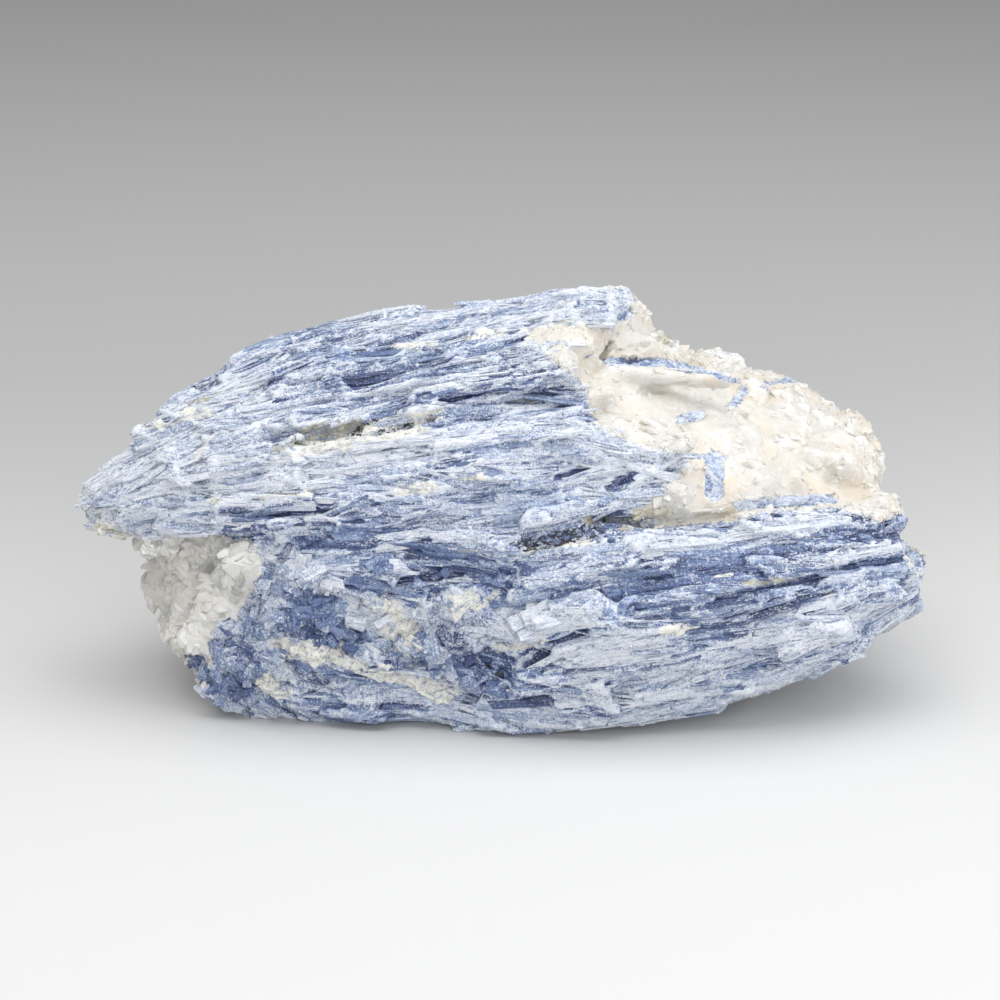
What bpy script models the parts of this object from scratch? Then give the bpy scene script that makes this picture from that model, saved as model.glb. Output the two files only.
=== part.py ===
"""Kyanite blade cluster: one hand-sized specimen of blue kyanite blades grown through white quartz.

The specimen is a single stone, so it is a single solid. It is put together the way it grew:

* lumps are the big masses, each a convex block given by its corners;
* flat kyanite blades lie over the kyanite lumps, along the grain of each lump;
* angular grains of massive quartz crust the quartz lumps;
* the blades that stand out by themselves are placed one by one.

All of them are fused by one Boolean union, and the stone is cut flat where it stands.

Frame: metres, +X to the right along the blades, +Y to the back, +Z up. The origin is on the ground,
under the middle of the stone.
"""

import math
import random

import bmesh
import bpy
from mathutils import Matrix, Vector
from mathutils.bvhtree import BVHTree

MM = 0.001  # the sizes and places below are in millimetres
SEED = 8

# Corners of the lumps, (x, y, z). Front is -Y.
LUMPS = {
    "crest": [
        (-77, 2, 62), (-70, -6, 64), (-75, 12, 62), (-57, 13, 77), (-37, 15, 83), (-12, 14, 87),
        (6, 11, 90.5), (19, 9, 94), (32, 9, 92), (38, 14, 83), (-47, -12, 70), (-20, -14, 75),
        (5, -13, 83), (13, -15, 83), (17, -19, 74), (-50, 36, 58), (-5, 40, 64), (28, 34, 68),
        (-60, 4, 42), (22, 4, 42), (-50, 32, 40), (20, 34, 40),
    ],
    "face": [
        (-98, -6, 44), (-96, 0, 50), (-91, -14, 40), (-86, 5, 58), (-86, 10, 48), (-57, -31, 49),
        (-38, -36, 51), (-5, -37, 43), (14, -36, 46), (24, -34, 49), (-80, -16, 55), (-57, -23, 62),
        (-23, -26, 67), (5, -28, 69), (24, -25, 69), (42, -24, 61), (-68, -8, 65), (-47, -14, 69),
        (-20, -18, 73), (10, -19, 75), (22, -17, 76), (-58, 24, 52), (24, 20, 60),
    ],
    "lower_right": [
        (0, -34, 42), (23, -36, 47), (46, -33, 48), (69, -27, 49), (94, -12, 44), (22, -47, 31),
        (45, -45, 34), (68, -40, 35), (92, -25, 37), (98, -11, 32), (97, -15, 27), (97, 4, 34),
        (94, 3, 42), (-5, -38, 5), (10, -40, -2), (24, -40, 2), (46, -38, 8), (65, -35, 12),
        (83, -28, 17), (95, -20, 25), (88, 20, 38), (90, 14, 24), (72, 18, 10), (42, 22, -2),
        (0, 20, -3),
    ],
    "lower_left": [
        (-59, -28, -2), (-47, -31, -3), (-35, -33, -3), (-22, -33, -3), (-10, -32, -2), (-69, -22, 6),
        (-57, -31, 46), (-38, -36, 49), (-5, -37, 42), (-60, -24, 46), (-64, -27, 30), (2, -36, 38),
        (-2, -36, 6), (-56, 22, -3), (-10, 26, -3), (-60, 20, 40), (0, 20, 42),
    ],
    "left_quartz": [
        (-85, -6, 38), (-82, -6, 25), (-77, -10, 20), (-71, -19, 10), (-67, -22, 6), (-60, -27, 43),
        (-61, -26, 10), (-79, -15, 39), (-80, 16, 36), (-72, 20, 14), (-58, 24, 2),
    ],
    "right_quartz": [
        (22, -33, 50), (46, -31, 51), (69, -25, 51), (90, -8, 46), (22, -23, 70), (42, -22, 61),
        (24, 4, 84), (34, 11, 82), (38, 18, 77), (44, 21, 74), (60, 27, 69), (70, 29, 64),
        (83, 27, 56), (90, 22, 51), (92, 13, 44), (84, 32, 34), (60, 40, 40), (30, 38, 52),
    ],
    "back": [
        (-66, 26, 52), (-74, 22, 30), (-60, 34, 10), (-40, 30, -3), (30, 34, -3), (60, 32, 8),
        (76, 30, 26), (70, 38, 44), (40, 44, 52), (0, 46, 56), (-40, 42, 52), (-30, 48, 26),
        (20, 50, 24), (50, 45, 26),
    ],
}

# Which way the blades of each kyanite lump run: degrees up from +X towards +Z, and towards +Y.
GRAIN = {"crest": (10, 2), "face": (6, 4), "lower_right": (8, 6), "lower_left": (-4, 2), "back": (4, -3)}
QUARTZ = ("left_quartz", "right_quartz")

BLADE_LENGTH = (30, 56)
BLADE_WIDTH = (8.0, 14.0)
BLADE_THICKNESS = (4.5, 7.0)
BLADE_SPACING = (12.5, 30.0)  # across and along the grain
BLADE_SECTION = [(-0.5, 0.0), (-0.36, 0.5), (0.36, 0.5), (0.5, 0.0), (0.36, -0.5), (-0.36, -0.5)]
BLADE_SKEW = 0.9  # how slanted a blade's broken end may be
BLADE_TAPER = (0.72, 1.0)  # width of an end, as a share of the blade's
BLADE_LEAN = 6  # degrees that a blade may lean out of its bundle
BLADE_TWIST = 0.16  # how unevenly the flat sides face outwards
BLADE_SINK = (0.1, 0.35)  # depth of a blade's middle plane in its lump, as a share of its thickness
BLADE_OVERHANG = 2.0  # how far a blade's end may stand out of its lump
SHORTEST_HALF = 4  # half the length of the shortest blade
END_ON = 0.7  # above this cosine between grain and surface, the surface is a bundle's broken end
END_SPREAD = 0.1  # how much the blades of a broken end spread
END_TWIST = 0.4
END_OUT = 2.0  # how far they stand out
QUARTZ_SIZE = (12, 20)
QUARTZ_STRETCH = (0.8, 1.2)
QUARTZ_UNEVEN = 0.22
QUARTZ_SINK = (0.2, 0.36)  # depth of a grain's middle in its lump, as a share of its size
QUARTZ_SPACING = 12.0
QUARTZ_CORNERS = 13
QUARTZ_LOWEST = 2  # no grain grows where the stone stands
BURIED = 1.0  # this deep in a neighbouring lump, a place is no longer on the stone's surface
MEAN_GIRTH = 0.8  # a lump's mean girth, as a share of its greatest
FAR = 200  # well outside every lump

# Blades that stand out: centre, direction, the way the flat side faces, and (length, width, thickness).
LONE_BLADES = [
    ((-62, -27, 32), (-0.40, 0.12, -0.90), (-0.45, -0.89, 0.10), (34, 10, 6)),
    ((-40, -35, 26), (0.95, 0.0, -0.30), (0.0, -1.0, 0.15), (24, 13, 5)),
    ((40, -6, 76.5), (0.99, 0.10, -0.10), (0.1, -0.55, 0.85), (30, 5, 4)),
    ((32, -28, 58), (0.78, 0.10, 0.60), (0.3, -0.9, 0.3), (30, 5, 5)),
    ((-1, -20, 79), (0.96, 0.12, 0.26), (-0.1, -0.8, 0.6), (38, 11, 5)),
]

GROUND_BLOCK = (280, 180, 30)
MOST_FACES = 9400  # small facets left by the union are merged until the stone has no more than these


def millimetres(values):
    return Vector(values) * MM


def scatter(rng):
    return Vector(rng.gauss(0, 1) for _ in range(3))


def hull(bm, points):
    """Adds the convex hull of the points to bm as a closed shell."""
    corners = [bm.verts.new(point) for point in points]
    made = bmesh.ops.convex_hull(bm, input=corners)
    inside = {item for item in made["geom_interior"] if isinstance(item, bmesh.types.BMVert)}
    bmesh.ops.delete(bm, geom=list(inside), context="VERTS")


def lump(corners):
    bm = bmesh.new()
    hull(bm, [millimetres(corner) for corner in corners])
    bmesh.ops.recalc_face_normals(bm, faces=bm.faces)
    return bm


def add_blade(bm, centre, along, facing, size, rng):
    """A flat blade with bevelled long edges and two uneven broken ends, as six points at each end."""
    length, width, thickness = size
    along = along.normalized()
    across = facing.cross(along).normalized()
    facing = along.cross(across)
    points = []
    for end in (-1, 1):
        skew = rng.uniform(-BLADE_SKEW, BLADE_SKEW)
        taper = rng.uniform(*BLADE_TAPER)
        for a, f in BLADE_SECTION:
            reach = end * length / 2 + skew * a * width
            aside = across * (a * width * taper) + facing * (f * thickness)
            points.append(millimetres(centre + along * reach + aside))
    hull(bm, points)


def add_quartz_grain(bm, centre, size, rng):
    """A blocky grain: the hull of points spread in a spiral over an uneven ball."""
    stretch = Vector(rng.uniform(*QUARTZ_STRETCH) for _ in range(3))
    turn = rng.uniform(0, 2 * math.pi)
    points = []
    for index in range(QUARTZ_CORNERS):
        height = 1 - 2 * (index + 0.5) / QUARTZ_CORNERS
        radius = math.sqrt(1 - height * height)
        angle = turn + index * math.pi * (3 - math.sqrt(5))
        way = Vector((radius * math.cos(angle), radius * math.sin(angle), height))
        way = (way + QUARTZ_UNEVEN * scatter(rng)).normalized()
        points.append(millimetres(centre + way * stretch * (size / 2)))
    hull(bm, points)


def surface_points(bm, axis, spacing, rng):
    """Points spread over a lump, with its normal there: rings of rays aimed at an axis through its middle."""
    around, lengthwise = spacing
    tree = BVHTree.FromBMesh(bm)
    corners = [vert.co / MM for vert in bm.verts]
    middle = sum(corners, Vector()) / len(corners)
    side = axis.orthogonal().normalized()
    reach = [(corner - middle).dot(axis) for corner in corners]
    girth = max((corner - middle - axis * (corner - middle).dot(axis)).length for corner in corners)
    turns = round(2 * math.pi * girth * MEAN_GIRTH / around)
    station = min(reach)
    while station < max(reach):
        offset = rng.random()
        for turn in range(turns):
            out = Matrix.Rotation(2 * math.pi * (turn + offset) / turns, 3, axis) @ side
            along = station + rng.uniform(-0.4, 0.4) * lengthwise
            place, normal, _, _ = tree.ray_cast((middle + axis * along + out * FAR) * MM, -out)
            if place:
                yield place / MM, normal
        station += lengthwise


def proud(point, bm):
    """How far the point, in millimetres, stands out of the convex lump. It is negative inside."""
    return max((point - face.verts[0].co / MM).dot(face.normal) for face in bm.faces)


def fitted(centre, along, length, bm):
    """The blade's centre and length, with each end drawn back until it is nearly within the lump."""
    ends = []
    for way in (-1, 1):
        reach = length / 2
        while reach > SHORTEST_HALF and proud(centre + along * way * reach, bm) > BLADE_OVERHANG:
            reach -= 1
        ends.append(way * reach)
    return centre + along * sum(ends) / 2, ends[1] - ends[0]


def grow_blades(bm, name, lumps, rng):
    others = [other for key, other in lumps.items() if key != name]
    rise, back = (math.radians(angle) for angle in GRAIN[name])
    grain = Vector((math.cos(rise), math.sin(back), math.sin(rise))).normalized()
    for place, normal in surface_points(lumps[name], grain, BLADE_SPACING, rng):
        length = rng.uniform(*BLADE_LENGTH)
        width = rng.uniform(*BLADE_WIDTH)
        thickness = rng.uniform(*BLADE_THICKNESS)
        wobble = scatter(rng)
        lean = Matrix.Rotation(math.radians(rng.gauss(0, BLADE_LEAN)), 3, normal)
        if place.z < 0 or any(proud(place, other) < -BURIED for other in others):
            continue
        outward = grain.dot(normal)
        if abs(outward) > END_ON:
            along = (grain + END_SPREAD * wobble).normalized()
            centre = place - grain * math.copysign(length / 2 - END_OUT, outward)
            facing = along.orthogonal() + END_TWIST * wobble
        else:
            along = (lean @ (grain - normal * outward)).normalized()
            centre = place - normal * thickness * rng.uniform(*BLADE_SINK)
            facing = normal + BLADE_TWIST * wobble
        centre, length = fitted(centre, along, length, lumps[name])
        add_blade(bm, centre, along, facing.normalized(), (length, width, thickness), rng)


def grow_quartz(bm, name, lumps, rng):
    others = [other for key, other in lumps.items() if key != name]
    for place, normal in surface_points(lumps[name], Vector((1, 0, 0)), (QUARTZ_SPACING,) * 2, rng):
        size = rng.uniform(*QUARTZ_SIZE)
        if place.z < QUARTZ_LOWEST or any(proud(place, other) < -BURIED for other in others):
            continue
        add_quartz_grain(bm, place - normal * size * rng.uniform(*QUARTZ_SINK), size, rng)


def new_object(name, bm):
    bmesh.ops.recalc_face_normals(bm, faces=bm.faces)
    mesh = bpy.data.meshes.new(name)
    bm.to_mesh(mesh)
    bm.free()
    made = bpy.data.objects.new(name, mesh)
    bpy.context.collection.objects.link(made)
    return made


def helper(name, bm):
    """A cutter or a piece to be fused, which is not a part of its own."""
    made = new_object(name, bm)
    made.hide_render = True
    made.display_type = "WIRE"
    return made


def boolean(obj, operation, other, use_self=False):
    modifier = obj.modifiers.new(operation.lower(), "BOOLEAN")
    modifier.operation = operation
    modifier.object = other
    modifier.use_self = use_self


def evaluated(obj):
    return obj.evaluated_get(bpy.context.evaluated_depsgraph_get()).to_mesh()


def largest_shell(mesh):
    """A bmesh of the mesh's largest shell. What is left out are gaps sealed inside the stone."""
    bm = bmesh.new()
    bm.from_mesh(mesh)
    left, shells = set(bm.verts), []
    while left:
        shell, edge = set(), [left.pop()]
        while edge:
            vert = edge.pop()
            shell.add(vert)
            near = {link.other_vert(vert) for link in vert.link_edges} & left
            left -= near
            edge.extend(near)
        shells.append(shell)
    keep = max(shells, key=len)
    bmesh.ops.delete(bm, geom=[vert for vert in bm.verts if vert not in keep], context="VERTS")
    return bm


def centre_on_origin(bm):
    """Moves the stone so that the origin is under the middle of its length and depth."""
    for axis in (0, 1):
        places = [vert.co[axis] for vert in bm.verts if vert.co.z > 0]
        shift = (min(places) + max(places)) / 2
        for vert in bm.verts:
            vert.co[axis] -= shift


def ground_block():
    bm = bmesh.new()
    bmesh.ops.create_cube(bm, size=1)
    bmesh.ops.scale(bm, vec=millimetres(GROUND_BLOCK), verts=bm.verts)
    bmesh.ops.translate(bm, vec=millimetres((0, 0, -GROUND_BLOCK[2] / 2)), verts=bm.verts)
    return bm


def kyanite():
    """Blue kyanite seen through pale splinters, which is the colour of most of the stone."""
    material = bpy.data.materials.new("kyanite")
    material.use_nodes = True
    shader = material.node_tree.nodes["Principled BSDF"]
    shader.inputs["Base Color"].default_value = (0.38, 0.48, 0.68, 1.0)
    shader.inputs["Roughness"].default_value = 0.45
    shader.inputs["Metallic"].default_value = 0.0
    return material


def clear_scene():
    for old in list(bpy.data.objects):
        bpy.data.objects.remove(old)


def grow(lumps, rng):
    """Every shell of the stone but its first lump, still overlapping, in one bmesh."""
    growth = bmesh.new()
    for corners in list(LUMPS.values())[1:]:
        hull(growth, [millimetres(corner) for corner in corners])
    for name in GRAIN:
        grow_blades(growth, name, lumps, rng)
    for name in QUARTZ:
        grow_quartz(growth, name, lumps, rng)
    for centre, along, facing, size in LONE_BLADES:
        add_blade(growth, Vector(centre), Vector(along), Vector(facing), size, rng)
    return growth


def main():
    clear_scene()
    lumps = {name: lump(corners) for name, corners in LUMPS.items()}
    growth = helper("growth", grow(lumps, random.Random(SEED)))
    rough = helper("rough", lump(next(iter(LUMPS.values()))))
    boolean(rough, "UNION", growth, use_self=True)
    fused = largest_shell(evaluated(rough))
    centre_on_origin(fused)
    stone = new_object("kyanite_cluster", fused)
    merge = stone.modifiers.new("merge_small_facets", "DECIMATE")
    faces = sum(len(face.vertices) - 2 for face in stone.data.polygons)
    merge.ratio = min(1.0, MOST_FACES / faces)
    boolean(stone, "DIFFERENCE", helper("ground", ground_block()))
    stone.data.materials.append(kyanite())


main()
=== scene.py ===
"""The look of the kyanite blade cluster: its worn surface, and the blades and grains that lie on it.

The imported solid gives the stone's form. Here it is remeshed finely and worn smooth, and real relief is
raised on it: terraces and facets that run with the grain, furrows, and a crust of quartz crystals. Flat
blades, splinters, broken lumps and crumbs of kyanite and chips of quartz lie on that surface. Sizes and
places are in millimetres until a mesh is made.

A place on the front of the stone is written as (right, up): millimetres right of and above the middle
of the picture, in the plane through the middle of the stone, as the camera sees it.
"""

import math

import bmesh
import bpy
import numpy as np
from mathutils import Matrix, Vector
from mathutils.bvhtree import BVHTree
from mathutils.kdtree import KDTree


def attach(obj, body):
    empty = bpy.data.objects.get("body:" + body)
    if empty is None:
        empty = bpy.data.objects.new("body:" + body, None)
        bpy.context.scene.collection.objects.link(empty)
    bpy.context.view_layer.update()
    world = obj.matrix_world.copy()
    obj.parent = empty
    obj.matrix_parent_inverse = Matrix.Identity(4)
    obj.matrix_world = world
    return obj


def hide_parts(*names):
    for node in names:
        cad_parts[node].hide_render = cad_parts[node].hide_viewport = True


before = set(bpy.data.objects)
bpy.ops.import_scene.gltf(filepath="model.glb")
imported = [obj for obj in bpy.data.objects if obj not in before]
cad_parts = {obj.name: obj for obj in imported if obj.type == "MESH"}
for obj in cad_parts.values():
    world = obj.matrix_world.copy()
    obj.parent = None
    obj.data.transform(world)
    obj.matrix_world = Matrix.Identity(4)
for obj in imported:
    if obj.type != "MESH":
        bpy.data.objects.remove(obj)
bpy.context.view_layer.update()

NODE = "kyanite_cluster"
MM = 0.001
rng = np.random.default_rng(21)

# ----------------------------------------
# Camera. The places of all the marks below depend on it.

CAMERA_RISE = math.radians(18)
CAMERA_DISTANCE = 700.0
CAMERA_LENS = 105.0
CAMERA_SENSOR = 36
AIM = np.array([0.0, 0.0, 43.6])
FORWARD = np.array([0.0, math.cos(CAMERA_RISE), -math.sin(CAMERA_RISE)])
UPWARD = np.array([0.0, math.sin(CAMERA_RISE), math.cos(CAMERA_RISE)])
EYE = AIM - CAMERA_DISTANCE * FORWARD


def as_seen(points):
    """Where points show on the front of the stone, as (right, up)."""
    offset = points - EYE
    scale = CAMERA_DISTANCE / (offset @ FORWARD)
    return np.stack([offset[:, 0] * scale, (offset @ UPWARD) * scale], axis=1)


# ----------------------------------------
# Random fields

def hashed(cells, seed):
    """A random number from 0 to 1 for each row of three whole numbers."""
    x, y, z = (cells[..., i].astype(np.int64) for i in range(3))
    n = (x * 374761393 + y * 668265263 + z * 974634777 + seed * 1442695041) & 0xFFFFFFFF
    n = ((n ^ (n >> 13)) * 1274126177) & 0xFFFFFFFF
    return ((n ^ (n >> 16)) & 0xFFFFFF) / 0xFFFFFF


def noise(points, size, seed):
    """Smooth noise from 0 to 1 with bumps of about the given size."""
    scaled = points / size
    cell = np.floor(scaled).astype(np.int64)
    part = scaled - cell
    part = part * part * (3 - 2 * part)
    total = np.zeros(len(points))
    for corner in np.ndindex(2, 2, 2):
        share = np.prod(np.where(corner, part, 1 - part), axis=1)
        total += share * hashed(cell + corner, seed)
    return total


def rough_noise(points, size, seed, octaves=3):
    """Noise from about 0 to 1 with finer and finer detail."""
    total, weight = np.zeros(len(points)), 0.0
    for octave in range(octaves):
        total += noise(points, size / 2**octave, seed + octave) / 2**octave
        weight += 1 / 2**octave
    return total / weight


def wander(points, size, reach, seeds):
    """Smooth random shifts, one for each seed, up to about half the reach each way."""
    return reach * (np.stack([rough_noise(points, size, seed) for seed in seeds], axis=1) - 0.5)


def smoothstep(low, high, value):
    """0 up to low, 1 from high on, and a smooth rise between them."""
    t = np.clip((value - low) / (high - low), 0, 1)
    return t * t * (3 - 2 * t)


def jitter(count):
    """Random vectors, about one long each way."""
    return rng.normal(0, 1, (count, 3))


def unit(vectors):
    """Vectors made one long."""
    return vectors / np.maximum(np.linalg.norm(vectors, axis=-1, keepdims=True), 1e-9)


# ----------------------------------------
# The grain: which way the blades run. Each guide is a place in the stone and the angles there,
# degrees up from +X towards +Z and towards +Y.

GUIDES = [
    ((-90, -8, 52), (17, 6)), ((-90, -10, 44), (4, 6)), ((-70, -14, 60), (17, 4)),
    ((-60, -30, 48), (5, 6)), ((-55, 0, 76), (24, 2)), ((-30, -20, 72), (11, 2)),
    ((-30, -33, 50), (4, 0)), ((0, -18, 78), (11, 2)), ((0, -32, 58), (8, 0)),
    ((15, -34, 50), (4, 0)), ((20, 0, 90), (10, 2)), ((28, -26, 66), (14, 0)),
    ((30, -40, 46), (6, -4)), ((60, -36, 42), (12, -6)), ((90, -20, 40), (16, -8)),
    ((40, -44, 30), (5, -2)), ((75, -34, 24), (14, -8)), ((30, -42, 8), (6, 0)),
    ((-10, -36, 30), (-12, 0)), ((-30, -35, 8), (-3, 0)), ((-55, -26, 12), (-30, 0)),
    ((-55, -28, 34), (-58, 6)), ((-35, -36, 34), (-6, 0)),
    ((-50, 34, 30), (4, -3)), ((0, 46, 40), (5, -2)), ((55, 40, 30), (12, 6)), ((0, 36, 66), (9, 3)),
]
GUIDE_FALLOFF = 3.0
GUIDE_CORE = 4.0  # a guide counts almost fully within this distance
GRAIN_SWING = 10  # degrees of random bend

# How disordered the blades are: a place and how many degrees they lean at random.
JUMBLES = [
    ((-45, -34, 28), 30), ((-15, -36, 22), 26), ((10, -38, 28), 18), ((-60, -26, 24), 24),
    ((-30, -32, 6), 6), ((50, -40, 30), 5), ((0, -30, 58), 5), ((0, 0, 84), 6), ((-80, -10, 52), 7),
    ((0, 44, 40), 7), ((-60, -12, 50), 5), ((-35, -33, 50), 6), ((-10, -36, 50), 6), ((12, -38, 46), 5),
]


def spread(points, places, values):
    """Values given at some places, spread over all points by distance."""
    places, values = np.array(places, float), np.array(values, float)
    total, weight = 0.0, 0.0
    for place, value in zip(places, values):
        share = (np.linalg.norm(points - place, axis=1) + GUIDE_CORE) ** -GUIDE_FALLOFF
        total = total + share[:, None] * np.atleast_1d(value)
        weight = weight + share[:, None]
    return total / weight


def grain_at(points):
    """The blades' direction at each point, as unit vectors."""
    angles = spread(points, [g[0] for g in GUIDES], [g[1] for g in GUIDES])
    rise = np.radians(angles[:, 0] + GRAIN_SWING * (noise(points, 22, 5) - 0.5))
    turn = np.radians(angles[:, 1] + GRAIN_SWING * (noise(points, 26, 6) - 0.5))
    return unit(np.stack([np.cos(rise) * np.cos(turn), np.sin(turn), np.sin(rise)], axis=1))


# ----------------------------------------
# Quartz: outlines on the front, (right, up), and on the back, (x, z)

QUARTZ_FRONT = {
    "right": [
        (5, 42), (22, 43), (27, 41), (30, 47), (35, 48), (42, 38), (60, 33), (75, 24), (86, 17), (91, 5),
        (96, -2), (93, -6), (80, -1), (64, -3), (46, -7), (36, -9), (31, -3), (38, 1), (45, 8), (42, 11),
        (32, 14), (22, 18), (20, 27), (13, 33), (6, 41),
    ],
    "left": [
        (-90, -9), (-66, -9), (-57, -11), (-58, -18), (-63, -28), (-66, -34), (-70, -44), (-84, -36),
        (-92, -16),
    ],
}
QUARTZ_BACK = [
    [(20, 96), (26, 76), (36, 56), (60, 44), (84, 34), (104, 30), (104, 100)],
    [(-96, 44), (-70, 42), (-58, 20), (-66, -2), (-100, -2)],
]


def distance_inside(points, outline):
    """How deep 2-D points lie inside an outline. It is negative outside."""
    inside = np.zeros(len(points), bool)
    nearest = np.full(len(points), 1e9)
    corners = np.array(outline, float)
    for a, b in zip(corners, np.roll(corners, -1, axis=0)):
        along = np.clip(((points - a) @ (b - a)) / ((b - a) @ (b - a)), 0, 1)
        nearest = np.minimum(nearest, np.linalg.norm(points - a - along[:, None] * (b - a), axis=1))
        crosses = (a[1] > points[:, 1]) != (b[1] > points[:, 1])
        with np.errstate(divide="ignore", invalid="ignore"):
            reach = (b[0] - a[0]) * (points[:, 1] - a[1]) / (b[1] - a[1]) + a[0]
        inside ^= crosses & (points[:, 0] < reach)
    return np.where(inside, nearest, -nearest)


FRONT_TURN = (-0.25, 0.15)  # cosines between which the back's looks turn into the front's
RAGGED = 5.0  # how far the edge of the quartz wanders


def facing_front(normals):
    """1 where the surface faces the camera, 0 where it faces away."""
    return smoothstep(*FRONT_TURN, -(normals @ FORWARD))


def quartz_depth(points, normals):
    """How deep a place lies inside the quartz, in millimetres. It is negative in the kyanite."""
    ragged = RAGGED * (rough_noise(points, 9, 40) - 0.5)
    front = np.max([distance_inside(as_seen(points), o) for o in QUARTZ_FRONT.values()], axis=0)
    back = np.max([distance_inside(points[:, [0, 2]], o) for o in QUARTZ_BACK], axis=0)
    share = facing_front(normals)
    return front * share + back * (1 - share) + ragged


# ----------------------------------------
# Marks: strokes along which the front shows a colour, as (right, up, right, up, half width) from one end
# to the other. Those of kyanite are bundles of blades; the others are patches; black ones paint crevice
# shade.

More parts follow.
